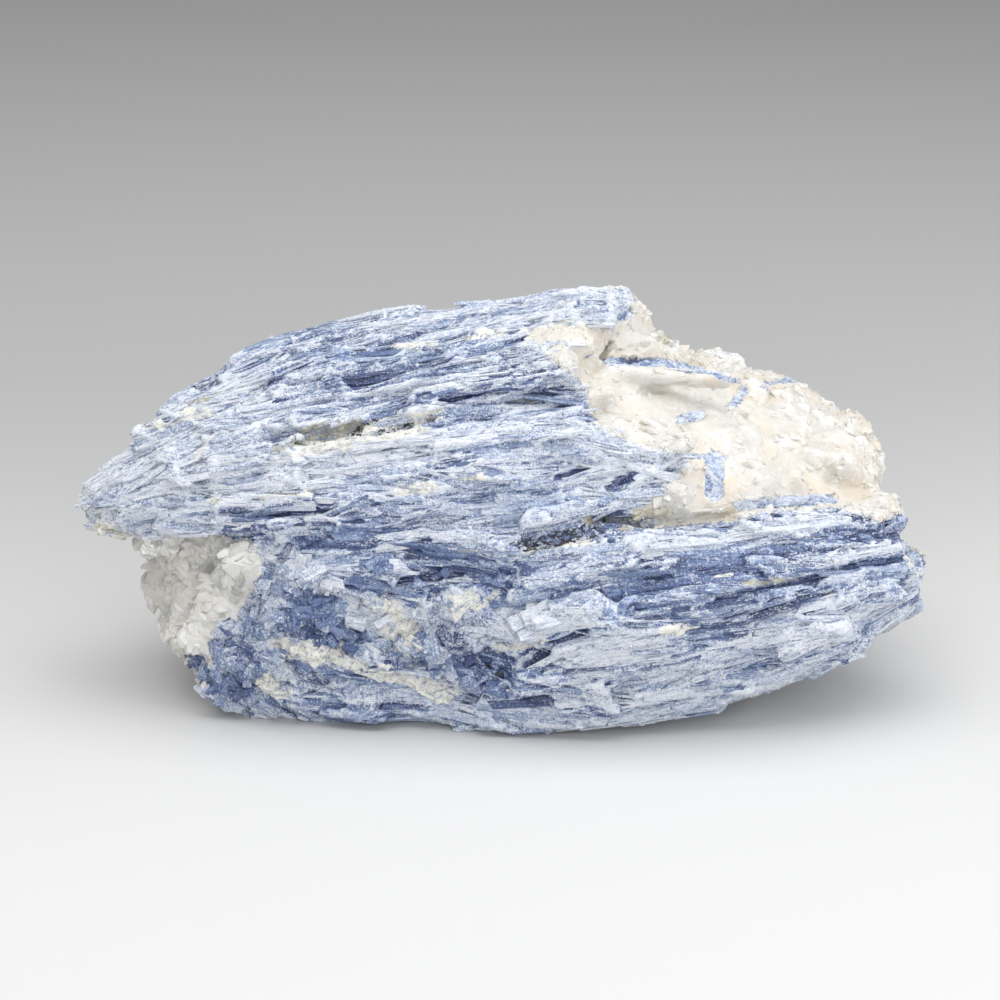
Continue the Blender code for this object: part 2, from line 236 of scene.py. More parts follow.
MARKS = {
    "deep": [
        (-41, 27.5, -13.5, 32, 2), (-30, 37, -20, 40, 1), (-41, 38.5, -32.5, 40, 0.5), (-7, 37, 4, 40, 1),
        (2, 29, 14.5, 25.5, 2), (-29.5, 21, -17, 24.5, 1), (-17, 24.5, -3, 27, 0.5),
        (-13, 24, -1, 25.5, 1), (-56, 28, -47, 32.5, 1), (-56, 23.5, -50.5, 24, 0.5),
        # (-66, -3, -40.5, -1.5) is the dark line under the upper slab: partly deep blue, partly painted
        # shade.
        (-66, -3, -40.5, -1.5, 1), (-66.5, -8.5, -50.5, -6, 1), (25, -0.5, 32, 5.5, 1.5),
        (-41, -6, -28, -5, 1), (18.5, 46.5, 24, 47.5, 0.5), (77.5, -10, 96.5, -7, 2),
        (42, -16.5, 57.5, -14, 1.5), (26.5, -21.5, 36.5, -20.5, 2), (53, -24, 72, -19, 1),
        (72, -19, 96.5, -13, 1), (61.5, -27.5, 79, -22.5, 1), (42, -29, 57.5, -31, 1.5),
        (-18.5, -10.5, -9.5, -13.5, 2), (-24, -20, -14.5, -18, 1), (-9.5, -15, -2, -17.5, 1.5),
        (6.5, -39.5, 14.5, -34.5, 1.5), (14.5, -34.5, 20, -31.5, 1), (-10, -38.5, 3.5, -43.5, 2),
        (-50, -24.5, -41.5, -23, 1.5), (-47, -28.5, -36, -31, 2), (-41, -27, -36, -34, 1.5),
        (-42.5, -7.5, -28, -8, 1.5), (-38.5, -21, -27, -22, 0.5), (-48, -10, -29.5, -11.5, 1),
        (-72, -38, -69, -42.5, 1), (-65.5, -42, -61.5, -45, 1), (-58, -45.5, -51.5, -49.5, 1),
    ],
    "mid": [
        (-66.5, 18, -48, 21.5, 1), (-48, 21.5, -33, 24, 1), (-47, 39.5, -33, 43, 1),
        (-81.5, 23, -75.5, 25, 1), (-17, 18, -5, 20.5, 1.5), (-33, 11.5, -19, 13, 0.5),
        (-36.5, 5.5, -26, 7, 0.5), (-17, 6, -12, 4.5, 1), (29, -0.5, 36, 4, 0.5), (36, 4, 45, 11, 0.5),
        (51.5, -12, 65.5, -9, 1), (26.5, -18, 42, -16, 1), (79, -22.5, 96, -18, 1),
        (37, -31, 51, -35, 0.5), (24, -28.5, 37, -31, 0.5), (60.5, -39.5, 79, -37.5, 1),
        (32.5, -46, 57.5, -43, 1), (4.5, -17.5, 25, -14.5, 1), (-51, -10.5, -57, -24.5, 1.5),
        (-65, -30.5, -66.5, -42.5, 1), (-67, -36, -57.5, -30.5, 1), (-55.5, -48, -19, -45.5, 1),
        (53.5, 29.5, 57, 28, 0.5), (-91, 2.5, -68.5, 7.5, 0.5), (-93.5, -1, -72, 0.5, 0.5),
        (-60, 11, -41, 14, 0.5), (14.5, -24, 24, -25.5, 1), (48, -37, 62.5, -33.5, 1),
        (86.5, -24, 97, -21.5, 1), (26, 33.5, 37, 33, 1), (37, 33, 48, 31.5, 1),
        (48, 31.5, 53.5, 29.5, 0.5), (-8, 1, 12.5, 3, 1.5), (-4.5, 5, 3.5, 7.5, 0.5),
        (1.5, 14.5, 21, 16, 0.5), (-6.5, 12.5, -0.5, 13.5, 0.5), (-21.5, 7.5, -12, 9, 0.5),
        (14, 5, 20, 7, 1),
    ],
    "sky": [
        (-86.5, -5.5, -66, -5, 2), (2.5, 10.5, 20.5, 12, 1.5), (2.5, 20, 19, 22, 1.5),
        (-13.5, 35.5, -2.5, 38.5, 1.5), (-35, 2.5, -24, 3, 1), (-64.5, 6, -60.5, 6.5, 1),
        (-50, -19, -43.5, -17.5, 1.5), (-47, -17, -40, -14.5, 2), (44.5, 10.5, 54.5, 10.5, 0.5),
        (52, 10, 51.5, 2, 2), (54.5, 21, 58.5, 26, 1), (43.5, 19.5, 48.5, 20.5, 1),
        (57.5, -1, 80, 0.5, 1), (89, 18, 91.5, 14.5, 1), (25, 45, 30, 45, 1.5), (3, -3.5, 14.5, -2, 1),
        (-9.5, -2.5, 9.5, -1.5, 1), (-84, 11, -65, 14.5, 1), (-14.5, -48, 14.5, -52, 1.5),
        (62.5, 26.5, 71, 26.5, 0.5),
    ],
    "frost": [
        (-57, 21, -41, 24.5, 0.5), (-17, 27, -5, 29, 0.5), (14.5, 14, 42, 7.5, 3),
        (60.5, -33.5, 84, -29, 2), (33.5, -11, 77, -5, 1.5), (81.5, -13.5, 96, -11, 1),
        (25.5, -15, 26.5, -24, 0.5), (0, -30, 20, -28, 2.5), (-72.5, -27, -65, -32, 1.5),
        (24, 50.5, 14.5, 50, 1), (-37, 25, -14.5, 29.5, 0.5), (-91, 7, -72, 14.5, 1.5),
        (-81.5, 5, -57.5, 9, 1.5), (-38.5, 12, 5, 18, 1.5), (-48, 7, -19, 11, 1.5),
        (14.5, -37, 33.5, -33.5, 2), (33.5, -48, 72, -44, 1), (-48, -15.5, -37, -24, 1),
        (0, 43.5, 33.5, 48, 1.5), (-29, 42.5, -14.5, 44.5, 1), (5, 23, 24, 25, 1),
        (14.5, -48, 48, -47, 1.5),
    ],
    "glass": [
        (-48, -25, -39, -28, 3.5), (-41, -31, -33, -32, 2), (-34, -19, -28, -21, 2),
        (27, -21.5, 36, -20.5, 2), (-38, -8, -30, -7, 2), (-17, -12, -10, -13, 2),
        (46, -15, 57, -14, 1.5),
    ],
    "cream": [
        (-25.5, 37, -16, 38, 1), (-9, 40, 0.5, 41.5, 1), (-75.5, 20.5, -70, 21, 1.5),
        (-85, 17.5, -80.5, 18.5, 1), (-48, 12, -19, 17.5, 2), (6, -12.5, 22, -9.5, 1),
        (-69, 16, -74, 7, 0.5), (-56.5, 0.5, -46, 1.5, 1), (-70, 0, -64.5, 0.5, 1), (-24, 2, -16, 3, 1.5),
        (-9.5, 5.5, -4, 5.5, 1), (39, -31, 47, -30.5, 1), (52, -19, 55, -18, 1), (-5.5, -25, -1, -22, 1),
        (0, -35.5, 11, -34, 1), (-27, -24.5, -21, -33.5, 2), (-27.5, -41, -12, -45.5, 2),
        (-52.5, -34, -41, -37, 1.5), (-41, -37, -28, -42.5, 1.5), (-58, -42.5, -51, -46.5, 1.5),
        (-97, -6, -90, -8, 2), (27.5, -5.5, 33.5, -6.5, 1), (2, 24.5, 9.5, 25.5, 0.5),
        (-73, -33.5, -77, -31, 2), (-40, 16.5, -14, 20.5, 1.5),
    ],
    "olive": [
        (-53.5, 12.5, -48, 15, 1.5), (-48, 15, -36, 18, 2), (-36, 18, -33.5, 19.5, 0.5),
        (58, -20.5, 71, -18.5, 1), (32.5, -4, 40, -2.5, 2), (-9.5, -12, -5, -12.5, 1),
        (-74.5, 23, -68.5, 24.5, 1), (-96, -6.5, -89, -8, 1), (21.5, -5, 30, -6, 1.5),
        (38.5, 39.5, 41.5, 37, 1),
    ],
    # The black strokes are painted shade in the crevices along them.
    "black": [
        (-37, 16, -34.5, 17, 1), (-30, 17, -22.5, 18, 1), (-17, 19, -14.5, 19.5, 0.5),
        (3.5, -11, 14.5, -9.5, 2), (14.5, -9, 24, -7, 2), (88, -29.5, 89.5, -27.5, 0.5),
        (-5, -39, 0, -40.5, 0.5), (-33, 19, -30, 19.5, 0.5),
    ],
}
PATCHES = ("cream", "olive", "black")
BACK_PATCHES = (0.66, 0.72)  # noise between these makes the patches on the back, which has no strokes

# Furrows where blades have broken out, (right, up, right, up, half width, depth)
FURROWS = [
    (-54, 14.5, -17, 19.5, 1.4, 1.6), (-14, 24, 1, 25.5, 1.0, 2.4), (-67, -3.8, -40, -2.6, 0.8, 2.2),
    (-89, -10.5, -55, -9.5, 1.2, 1.6), (3, -11, 24, -8.2, 1.8, 1.0), (14, 5.2, 20.5, 7.2, 1.0, 2.2),
    (34, 26, 45, 27, 1.0, 0.7), (25, 34.5, 27, 37.5, 0.6, 3.0),
    (53, -24, 97, -13.5, 0.9, 1.4), (61, -28, 80, -23, 1.3, 1.8), (6.5, -39, 20.5, -31.5, 1.2, 2.2),
    (-82, 20, -69, 16, 0.6, 1.8), (-24, -20, -10, -17, 1.2, 2.0), (-58, -24, -51, -11, 0.8, 2.0),
    (-47, -31, -36, -35, 1.0, 1.8), (2, 24, 14, 23, 1.2, 1.8), (-9, -49, 0, -42, 1.0, 1.6),
]

# Lumps that stand out, each a few shards: right, up, length, height, lean from the picture's right in
# degrees, then blue, frost and cream for those of kyanite, or whiteness for those of quartz.
LUMPS = {
    "kyanite": [
        (-54, -17, 17, 4.5, 66, 0.45, 0.55, 0), (-44, -17, 8, 4, 20, 0.1, 0.9, 0.3),
        (-45, -26, 10, 8, 10, 0.8, 0, 0), (-38, -30, 9, 7, -20, 0.75, 0.1, 0),
        (-24, -29, 11, 7, 80, 0.1, 0.9, 1), (-19, -44, 14, 5, -22, 0.1, 0.9, 1),
        (-47, -36, 12, 4, -18, 0.1, 0.9, 0.9), (-35, -40, 12, 4, -25, 0.2, 0.8, 0.9),
        (-54, -44, 8, 5, -20, 0.1, 0.8, 1), (30, -21, 10, 4.5, 4, 0.85, -0.1, 0),
        (9, -28, 16, 7, 20, 0.15, 1, 0.2), (-31, -17, 10, 5, 15, 0.8, 0, 0),
        (-8, -24, 9, 5, 35, 0.15, 0.8, 0.8), (12, 12, 16, 4, 4, 0.4, 0.3, 0),
        (-13, -17, 11, 4, 30, 0.75, 0.1, 0), (29, -5.5, 9, 5, 10, 0.35, 0.8, 0.3),
        (34, -5, 8, 5, 0, 0.3, 0.7, 0.8), (26, -6, 6, 4, 20, 0.4, 0.7, 0.2),
    ],
    "quartz": [
        (-62.5, -12, 11, 5, 6, 1.3), (-75, -33, 9, 7, 65, 1.2), (-83, -14, 9, 7, 20, 0.1),
        (-74, -13, 8, 5, -20, 0.5), (-79, -21, 9, 5, 35, 0.35), (-70, -20, 9, 4, -15, 0.7),
        (-64, -22, 6, 5, 20, 0.2), (-72, -38, 6, 4, -50, 0.8), (86, 13, 8, 6, 50, 0.9),
        (73, 22, 8, 5, 20, 1), (54, 33, 7, 5, 30, 0.9), (68, 25, 7, 5, -40, 0.8), (78, 19, 8, 6, 20, 0.9),
        (90, 9, 6, 5, 60, 0.8), (93, -2, 6, 4, 10, 0.6), (60, 30, 5, 4, 50, 0.5),
    ],
}

# How the kyanite's tone varies over the front, (right, up, blue, frost), and everywhere else
# The rows along the bottom edge, up -44 to -52, that are bluest and least frosted paint the shade under the
# stone.
TONES = [
    (-88, 4, 0.06, 1.35), (-75, 22, 0.25, 0.92), (-60, 28, 0.46, 0.56), (-40, 40, 0.58, 0.42),
    (-20, 44, 0.52, 0.48), (-25, 31, 0.78, 0.28), (-5, 33, 0.50, 0.50), (10, 29, 0.66, 0.36),
    (-45, 20, 0.58, 0.36), (-55, 8, 0.16, 1.05), (-38, 8, 0.18, 1.0), (-15, 8, 0.24, 0.9),
    (0, 14, 0.26, 0.85), (10, 4, 0.34, 0.72), (26, 15, 0.24, 0.76), (22, 47, 0.30, 0.70),
    (2, 22, 0.28, 0.74), (-70, 0, 0.08, 1.3), (-72, -6, 0.22, 0.8), (-30, -6, 0.64, 0.44),
    (-10, -8, 0.52, 0.52), (-45, -25, 0.52, 0.50), (-25, -22, 0.46, 0.6), (-8, -26, 0.48, 0.55),
    (10, -30, 0.28, 0.76), (-55, -20, 0.42, 0.56), (-48, -44, 0.66, 0.26), (-66, -38, 0.42, 0.58),
    (-25, -46, 0.86, 0.04), (50, -9, 0.70, 0.18), (80, -8, 0.74, 0.16), (50, -18, 0.72, 0.26),
    (75, -16, 0.58, 0.36), (92, -22, 0.40, 0.56), (60, -27, 0.60, 0.40), (36, -20, 0.60, 0.36),
    (40, -38, 0.42, 0.55), (70, -38, 0.36, 0.62), (10, -46, 0.74, 0.18), (36, -48, 0.36, 0.62),
    (-22, -31, 0.28, 0.85), (14, 23, 0.28, 0.78), (-17, -52, 0.95, -0.1), (-35, -52, 0.92, -0.05),
    (67, -20, 0.88, 0.0), (60, -22, 0.85, 0.05), (73, -9, 0.9, 0.0), (18, -20, 0.64, 0.34),
    (-4, -9, 0.68, 0.36), (4, -43, 0.36, 0.60),
]
TONE_ELSEWHERE = (0.50, 0.50)
TONE_CORE = 3.0  # a tone counts almost fully within this distance
TONE_FALLOFF = 3

# ----------------------------------------
# Making meshes

LOWEST = 0.05  # no corner of a loose part is lower


def mesh_object(name, verts, faces, sides):
    """An object of flat faces. verts are in millimetres; each face has the given number of sides."""
    mesh = bpy.data.meshes.new(name)
    mesh.vertices.add(len(verts))
    mesh.vertices.foreach_set("co", (verts * MM).astype(np.float32).ravel())
    mesh.loops.add(faces.size)
    mesh.loops.foreach_set("vertex_index", faces.astype(np.int32).ravel())
    mesh.polygons.add(len(faces))
    mesh.polygons.foreach_set("loop_start", np.arange(0, faces.size, sides, dtype=np.int32))
    mesh.update(calc_edges=True)
    mesh.validate()
    mesh.shade_flat()
    made = bpy.data.objects.new(name, mesh)
    bpy.context.collection.objects.link(made)
    return made


def loose_object(name, verts, faces, sides):
    """An object of many loose parts. verts and faces have a row for each part; no corner is under LOWEST."""
    verts[..., 2] = np.maximum(verts[..., 2], LOWEST)
    starts = np.arange(len(verts)) * (verts[0].size // 3)
    faces = faces + starts[:, None, None]
    return mesh_object(name, verts.reshape(-1, 3), faces.reshape(-1, sides), sides)


ATTRIBUTE_KINDS = {1: ("FLOAT", "value"), 3: ("FLOAT_VECTOR", "vector"), 4: ("FLOAT_COLOR", "color")}


def store(made, **fields):
    """Stores values for the materials, with a row for each vertex, or for each loose part of the mesh."""
    for name, values in fields.items():
        values = np.repeat(values, len(made.data.vertices) // len(values), axis=0)
        kind, member = ATTRIBUTE_KINDS[values[0].size]
        attribute = made.data.attributes.new(name, kind, "POINT")
        attribute.data.foreach_set(member, values.astype(np.float32).ravel())


def nearest_rows(points, places, count):
    """For each point, the numbers of the nearest few places."""
    tree = KDTree(len(places))
    for index, place in enumerate(places):
        tree.insert(Vector(place), index)
    tree.balance()
    return np.array([[found[1] for found in tree.find_n(Vector(p), count)] for p in points])


# ----------------------------------------
# The skin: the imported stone, remeshed finely and worn smooth, as arrays

SKIN_VOXEL = 0.59
SKIN_WEAR = 44  # passes of smoothing
BACK_SHARE = 0.57  # the back is made this much smaller while the skin is made, so it gets fewer faces
BACK_FROM = (-12, 36)
FIT_ROUNDS = 250


def read_mesh(mesh):
    """Vertices in millimetres, and the faces of four corners."""
    verts = np.empty(len(mesh.vertices) * 3, np.float32)
    mesh.vertices.foreach_get("co", verts)
    quads = np.empty(len(mesh.loops), np.int32)
    mesh.loops.foreach_get("vertex_index", quads)
    return verts.reshape(-1, 3).astype(float) / MM, quads.reshape(-1, 4)


def tapered(points, power):
    """Points with x and z made smaller towards the back, or with power -1 put back as they were."""
    scale = 1 - (1 - BACK_SHARE) * smoothstep(*BACK_FROM, points[:, 1])
    return points * np.stack([scale, np.ones(len(points)), scale], axis=1) ** power


def worn_skin():
    """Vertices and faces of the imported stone, remeshed as squares and worn smooth."""
    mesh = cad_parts[NODE].data.copy()
    corners = np.empty(len(mesh.vertices) * 3, np.float32)
    mesh.vertices.foreach_get("co", corners)
    corners = tapered(corners.reshape(-1, 3) / MM, 1) * MM
    mesh.vertices.foreach_set("co", corners.astype(np.float32).ravel())
    draft = bpy.data.objects.new("draft", mesh)
    bpy.context.collection.objects.link(draft)
    remesh = draft.modifiers.new("remesh", "REMESH")
    remesh.mode = "VOXEL"
    remesh.voxel_size = SKIN_VOXEL * MM
    wear = draft.modifiers.new("wear", "SMOOTH")
    wear.factor = 0.5
    wear.iterations = SKIN_WEAR
    evaluated = draft.evaluated_get(bpy.context.evaluated_depsgraph_get())
    verts, quads = read_mesh(evaluated.to_mesh())
    evaluated.to_mesh_clear()
    bpy.data.objects.remove(draft)
    return tapered(verts, -1), quads


def triangles(quads):
    return np.concatenate([quads[:, [0, 1, 2]], quads[:, [0, 2, 3]]])


def normals_of(verts, quads):
    """Vertex normals, from the faces around each vertex."""
    faces = np.cross(verts[quads[:, 2]] - verts[quads[:, 0]], verts[quads[:, 3]] - verts[quads[:, 1]])
    total = np.zeros_like(verts)
    for corner in range(4):
        for axis in range(3):
            total[:, axis] += np.bincount(quads[:, corner], faces[:, axis], len(verts))
    return unit(total)


skin, quads = worn_skin()
skin_normals = normals_of(skin, quads)
edges = np.unique(np.sort(np.concatenate([quads[:, [i, (i + 1) % 4]] for i in range(4)]), axis=1), axis=0)
edge_count = np.bincount(edges.ravel(), minlength=len(skin))


def sum_of_neighbours(values):
    a, b = edges.T
    return np.bincount(a, values[b], len(skin)) + np.bincount(b, values[a], len(skin))


def smoothed(values, rounds):
    """Values at the skin's vertices, averaged with their neighbours again and again."""
    if values.ndim == 2:
        return np.stack([smoothed(column, rounds) for column in values.T], axis=1)
    for _ in range(rounds):
        values = 0.5 * values + 0.5 * sum_of_neighbours(values) / edge_count
    return values


def fitted(wanted, start):
    """Values at the skin's vertices whose differences along the edges come nearest to those wanted.

    They are found by conjugate gradients."""
    a, b = edges.T
    target = np.bincount(b, wanted, len(skin)) - np.bincount(a, wanted, len(skin))
    values = start.copy()
    left = target - (edge_count * values - sum_of_neighbours(values))
    eased = left / edge_count
    step = eased.copy()
    size = left @ eased
    for _ in range(FIT_ROUNDS):
        pulled = edge_count * step - sum_of_neighbours(step)
        share = size / (step @ pulled)
        values += share * step
        left -= share * pulled
        eased = left / edge_count
        size, before = left @ eased, size
        step = eased + size / before * step
    return values


def segment_share(places, stroke):
    """0 on a stroke's centre line, 1 at its edge, and more beyond."""
    a, b = np.array(stroke[:2]), np.array(stroke[2:4])
    along = np.clip(((places - a) @ (b - a)) / ((b - a) @ (b - a)), 0, 1)
    return np.linalg.norm(places - a - along[:, None] * (b - a), axis=1) / stroke[4]


def marked(seen, kind, inner, outer):
    """1 on the strokes of a kind, and 0 off them."""
    near = np.full(len(seen), 9.0)
    for stroke in MARKS[kind]:
        near = np.minimum(near, segment_share(seen, stroke))
    return 1 - smoothstep(inner, outer, near)


def patches_at(points, normals):
    """Shares of cream, olive and black at each place; the black is painted shade in crevices."""
    seen = as_seen(points) + wander(points, 4, 2.2, (81, 91))
    front = facing_front(normals)
    shares = []
    for number, kind in enumerate(PATCHES):
        behind = smoothstep(*BACK_PATCHES, rough_noise(points, 14, 100 + 10 * number)) * (kind != "black")
        shares.append(front * marked(seen, kind, 0.6, 1.3) + (1 - front) * behind)
    return np.stack(shares, axis=1)


def tone_at(points, normals):
    """How blue and how frosted the kyanite is."""
    seen = as_seen(points)
    total, weight = 0.0, 0.0
    for right, up, *tone in TONES:
        share = (np.hypot(seen[:, 0] - right, seen[:, 1] - up) + TONE_CORE)[:, None] ** -TONE_FALLOFF
        total, weight = total + share * np.array(tone), weight + share
    front = facing_front(normals)[:, None]
    return total / weight * front + np.array(TONE_ELSEWHERE) * (1 - front)


# ----------------------------------------
# Bundles: which blades lie together

BUNDLES = 1900
BUNDLE_LENGTH = (9, 30)
BUNDLE_WIDTH = (1.1, 4.4)
BUNDLE_THICKNESS = 6
BUNDLES_TRIED = 16
STROKE_PART = 9.0  # a long stroke is made of bundles of this length
STROKE_PART_LIMITS = (0.5, 25)  # a part whose ends lie closer or farther apart is left out
STROKE_PRIORITY = 0.6  # under 1, so a stroke's bundles reach farther than those around them
END_ON = 0.72  # cosine of the angle to the surface's normal past which a blade stands out of it
KINDS = {  # blue, frost, fray, lift
    "mid": (0.62, 0.32, 0.65, 0.0), "sky": (0.30, 0.25, 0.2, 0.1), "frost": (0.20, 0.9, 0.9, 0.4),
    "deep": (0.90, 0.06, 0.45, -0.5), "glass": (0.86, -0.1, 0.05, 0.0),
}


def lean_at(points):
    """How many degrees the blades lean at random."""
    return spread(points, [j[0] for j in JUMBLES], [(j[1],) for j in JUMBLES])[:, 0]


class Surface:
    """A surface to lay blades on, with tools for finding places there."""

    def __init__(self, verts, normals):
        self.verts, self.normals = verts, normals
        self.tris = triangles(quads)
        self.tree = BVHTree.FromPolygons([Vector(v) for v in verts], self.tris.tolist())

    def nearest(self, points):
        return np.array([self.tree.find_nearest(Vector(p))[0] for p in points])

    def nearest_vertex(self, points):
        return self.tris[[self.tree.find_nearest(Vector(p))[2] for p in points], 0]

    def outside(self, points):
        """How far each point is outside the surface."""
        found = [self.tree.find_nearest(Vector(p))[:2] for p in points]
        places, normals = (np.array([f[i] for f in found]) for i in (0, 1))
        return ((points - places) * normals).sum(axis=1)

    def under(self, right, up):
        """The place that the camera sees at (right, up), and the normal there."""
        aim = AIM + np.array([right, 0, 0]) + up * UPWARD
        place, normal, _, _ = self.tree.ray_cast(Vector(EYE), Vector(aim - EYE).normalized())
        return (np.array(place), np.array(normal)) if place else (None, None)

    def scatter(self, count, weight=None):
        """Random places, their normals, and the nearest vertex to each."""
        a, b, c = (self.verts[self.tris[:, i]] for i in range(3))
        chance = np.linalg.norm(np.cross(b - a, c - a), axis=1)
        chance[(a[:, 2] < 0.6) & (self.normals[self.tris[:, 0], 2] < -0.8)] = 0  # where it rests
        if weight is not None:
            chance = chance * weight[self.tris[:, 0]]
        picked = self.tris[rng.choice(len(self.tris), count, p=chance / chance.sum())]
        u, v = rng.random(count), rng.random(count)
        over = u + v > 1
        u[over], v[over] = 1 - u[over], 1 - v[over]
        shares = np.stack([1 - u - v, u, v], axis=1)[:, :, None]
        place = (self.verts[picked] * shares).sum(axis=1)
        return place, unit((self.normals[picked] * shares).sum(axis=1)), picked[:, 0]


def stroke_bundles(surface):
    """The strokes of kyanite seen on the front, cut into short bundles."""
    rows = []
    for kind, (blue, frost, fray, lift) in KINDS.items():
        for x0, y0, x1, y1, half in MARKS[kind]:
            parts = max(1, round(math.hypot(x1 - x0, y1 - y0) / STROKE_PART))
            ends = [(x0 + (x1 - x0) * i / parts, y0 + (y1 - y0) * i / parts) for i in range(parts + 1)]
            for (xa, ya), (xb, yb) in zip(ends, ends[1:]):
                first, normal_0 = surface.under(xa, ya)
                last, normal_1 = surface.under(xb, yb)
                if first is None or last is None:
                    continue
                apart = np.linalg.norm(last - first)
                if not STROKE_PART_LIMITS[0] < apart < STROKE_PART_LIMITS[1]:
                    continue
                place = surface.nearest([(first + last) / 2])[0]
                rows.append((
                    *place, *unit(last - first), *unit(normal_0 + normal_1),
                    apart / 2 + 1, half, blue, frost, fray, lift, STROKE_PRIORITY,
                ))
    return np.array(rows)


def random_bundles(surface):
    """Bundles along the grain all over the stone."""
    places, normals, _ = surface.scatter(BUNDLES)
    grain = grain_at(places)
    across = unit(np.cross(normals, grain))
    lean = np.radians(rng.normal(0, 1, BUNDLES) * lean_at(places))[:, None]
    flat = unit(grain - normals * (grain * normals).sum(1, keepdims=True))
    end_on = np.abs((grain * normals).sum(1)) > END_ON
    along = np.where(end_on[:, None], grain, unit(flat * 0.9 + grain * 0.1))
    along = unit(along * np.cos(lean) + across * np.sin(lean))
    tone = tone_at(places, normals)
    blue_swing = 0.35 * (rough_noise(places * [0.4, 1, 1], 11, 120) - 0.5) + rng.normal(0, 0.09, BUNDLES)
    frost_swing = 0.35 * (rough_noise(places * [0.5, 1, 1], 9, 130) - 0.5) + rng.normal(0, 0.09, BUNDLES)
    blue, frost = tone[:, 0] + blue_swing, tone[:, 1] + frost_swing
    return np.column_stack([
        places, along, normals, rng.uniform(*BUNDLE_LENGTH, BUNDLES) / 2,
        rng.uniform(*BUNDLE_WIDTH, BUNDLES) / 2, blue, frost,
        np.clip(rng.normal(0.7, 0.25, BUNDLES), 0.15, 1), rng.normal(0, 0.4, BUNDLES), np.ones(BUNDLES),
    ])


def make_bundles(surface):
    """All bundles, as a dict of arrays."""
    rows = np.concatenate([stroke_bundles(surface), random_bundles(surface)])
    bundles = {"place": rows[:, 0:3], "along": rows[:, 3:6], "normal": rows[:, 6:9]}
    names = ("half_length", "half_width", "blue", "frost", "fray", "lift", "priority")
    return bundles | {name: rows[:, 9 + i] for i, name in enumerate(names)}


def nearest_bundle(points, normals, bundles):
    """The bundle that each point belongs to: the nearest, as measured along and across each bundle."""
    near = nearest_rows(points, bundles["place"], BUNDLES_TRIED)
    offset = points[:, None] - bundles["place"][near]
    along = bundles["along"][near]
    facing = bundles["normal"][near]
    run = (offset * along).sum(-1)
    across = (offset * np.cross(facing, along)).sum(-1)
    depth = (offset * facing).sum(-1)
    far = (run / bundles["half_length"][near]) ** 2 + (across / bundles["half_width"][near]) ** 2
    far = (far + (depth / BUNDLE_THICKNESS) ** 2) * bundles["priority"][near] ** 2
    far = far + 4 * (1 - (facing * normals[:, None]).sum(-1))
    return near[np.arange(len(points)), far.argmin(axis=1)]


# ----------------------------------------
# Relief

LEDGE_HEIGHT = 1.6
LEDGE_STEPS = 5
STREAK_HEIGHT = 1.0
CRUSH_HEIGHT = 0.6
FACETS = [  # stretch along and across the grain, height, share of the tone
    ((1 / 13, 1 / 3.6, 1 / 3.6), 0.8, 0.10), ((1 / 5, 1 / 1.6, 1 / 1.6), 0.4, 0.09),
]
STROKE_STRENGTH = 0.85
SLIVER_KINDS = ("deep", "mid", "sky")  # strokes of these show through the quartz
CALM_KINDS = ("deep", "sky", "glass")  # strokes of these have little relief
BLOCK_SIZE = 10.0
BLOCKY_LEAN = (14, 24)  # between these leans, in degrees, the blades give way to a jumble of blocks
CRUSHED = (0.52, 0.68)  # noise between these makes the crushed places
QUARTZ_EDGE = 0.6  # half the width over which kyanite turns into quartz
SLIVER_RISE = 12  # more than the depth at which a sliver may lie in the quartz
GRAIN_SMOOTHING = 12
SWELLS = [  # where the stone stands out more, or less, than the solid: right, up, reach, rise
    (78, 30, 26, 3.4), (92, 12, 16, 2.6), (-76, -28, 16, 1.6), (-5, 47, 22, -1.8), (-104, -2, 14, -2.2),
    (-64, 32, 14, -1.4), (-66, -46, 14, 1.4), (-86, 22, 12, 1.2), (80, -38, 18, 1.2),
    (50, -53, 7, -1.2), (62, -48, 12, 1.6),
]
QUARTZ_CRYSTALS = [(7.5, 0.26), (3.4, 0.16)]  # size, and the share of their relief that is kept
QUARTZ_LEFT_STRENGTH = 1.5
QUARTZ_REACH = -2  # crystals are raised this far out into the kyanite
CRYSTALS_TRIED = 6
STEEPEST = 0.12  # a crystal's faces steeper than this, as a cosine, are left out


def ledges(grain, seed):
    """Terraces 0 to 1 high that run with the grain."""
    level = rough_noise(grain * [1 / 34, 1 / 5.5, 1 / 5.5], 1, seed, 2) * LEDGE_STEPS * 1.4
    part = level - np.floor(level)
    return (np.floor(level) + smoothstep(0.72, 1.0, part) + 0.25 * part) / LEDGE_STEPS / 1.4


def crystal_relief(points, normals, spacing, seed, planes=8):
    """Heights of a crust of crowded flat-faced crystals, and a random number for each crystal."""
    own = np.random.default_rng(seed)
    cells = np.floor(points / spacing + own.random(3)).astype(np.int64)
    order = own.permutation(len(points))
    _, first = np.unique(cells[order], axis=0, return_index=True)
    seeds = order[first]
    middle = points[seeds] - normals[seeds] * 0.35 * spacing
    tilt = own.normal(0, 1, (len(seeds), planes, 3)) * 0.75
    tilt[:, 0] *= 0.3
    faces = unit(normals[seeds][:, None] * 0.55 + tilt)
    reach = own.uniform(0.5, 0.72, (len(seeds), planes)) * spacing
    reach[:, 0] += 0.1 * spacing
    near = nearest_rows(points, points[seeds], CRYSTALS_TRIED)
    slope = (faces[near] * normals[:, None, None]).sum(-1)
    room = reach[near] - (faces[near] * (points[:, None] - middle[near])[:, :, None]).sum(-1)
    height = np.where(slope > STEEPEST, room / np.maximum(slope, STEEPEST), 99).min(axis=2)
    height = np.clip(height, -0.3 * spacing, 0.38 * spacing)
    best = height.argmax(axis=1)
    rows = np.arange(len(points))
    height = height[rows, best]
    return height - height.mean(), own.random(len(seeds))[near[rows, best]]


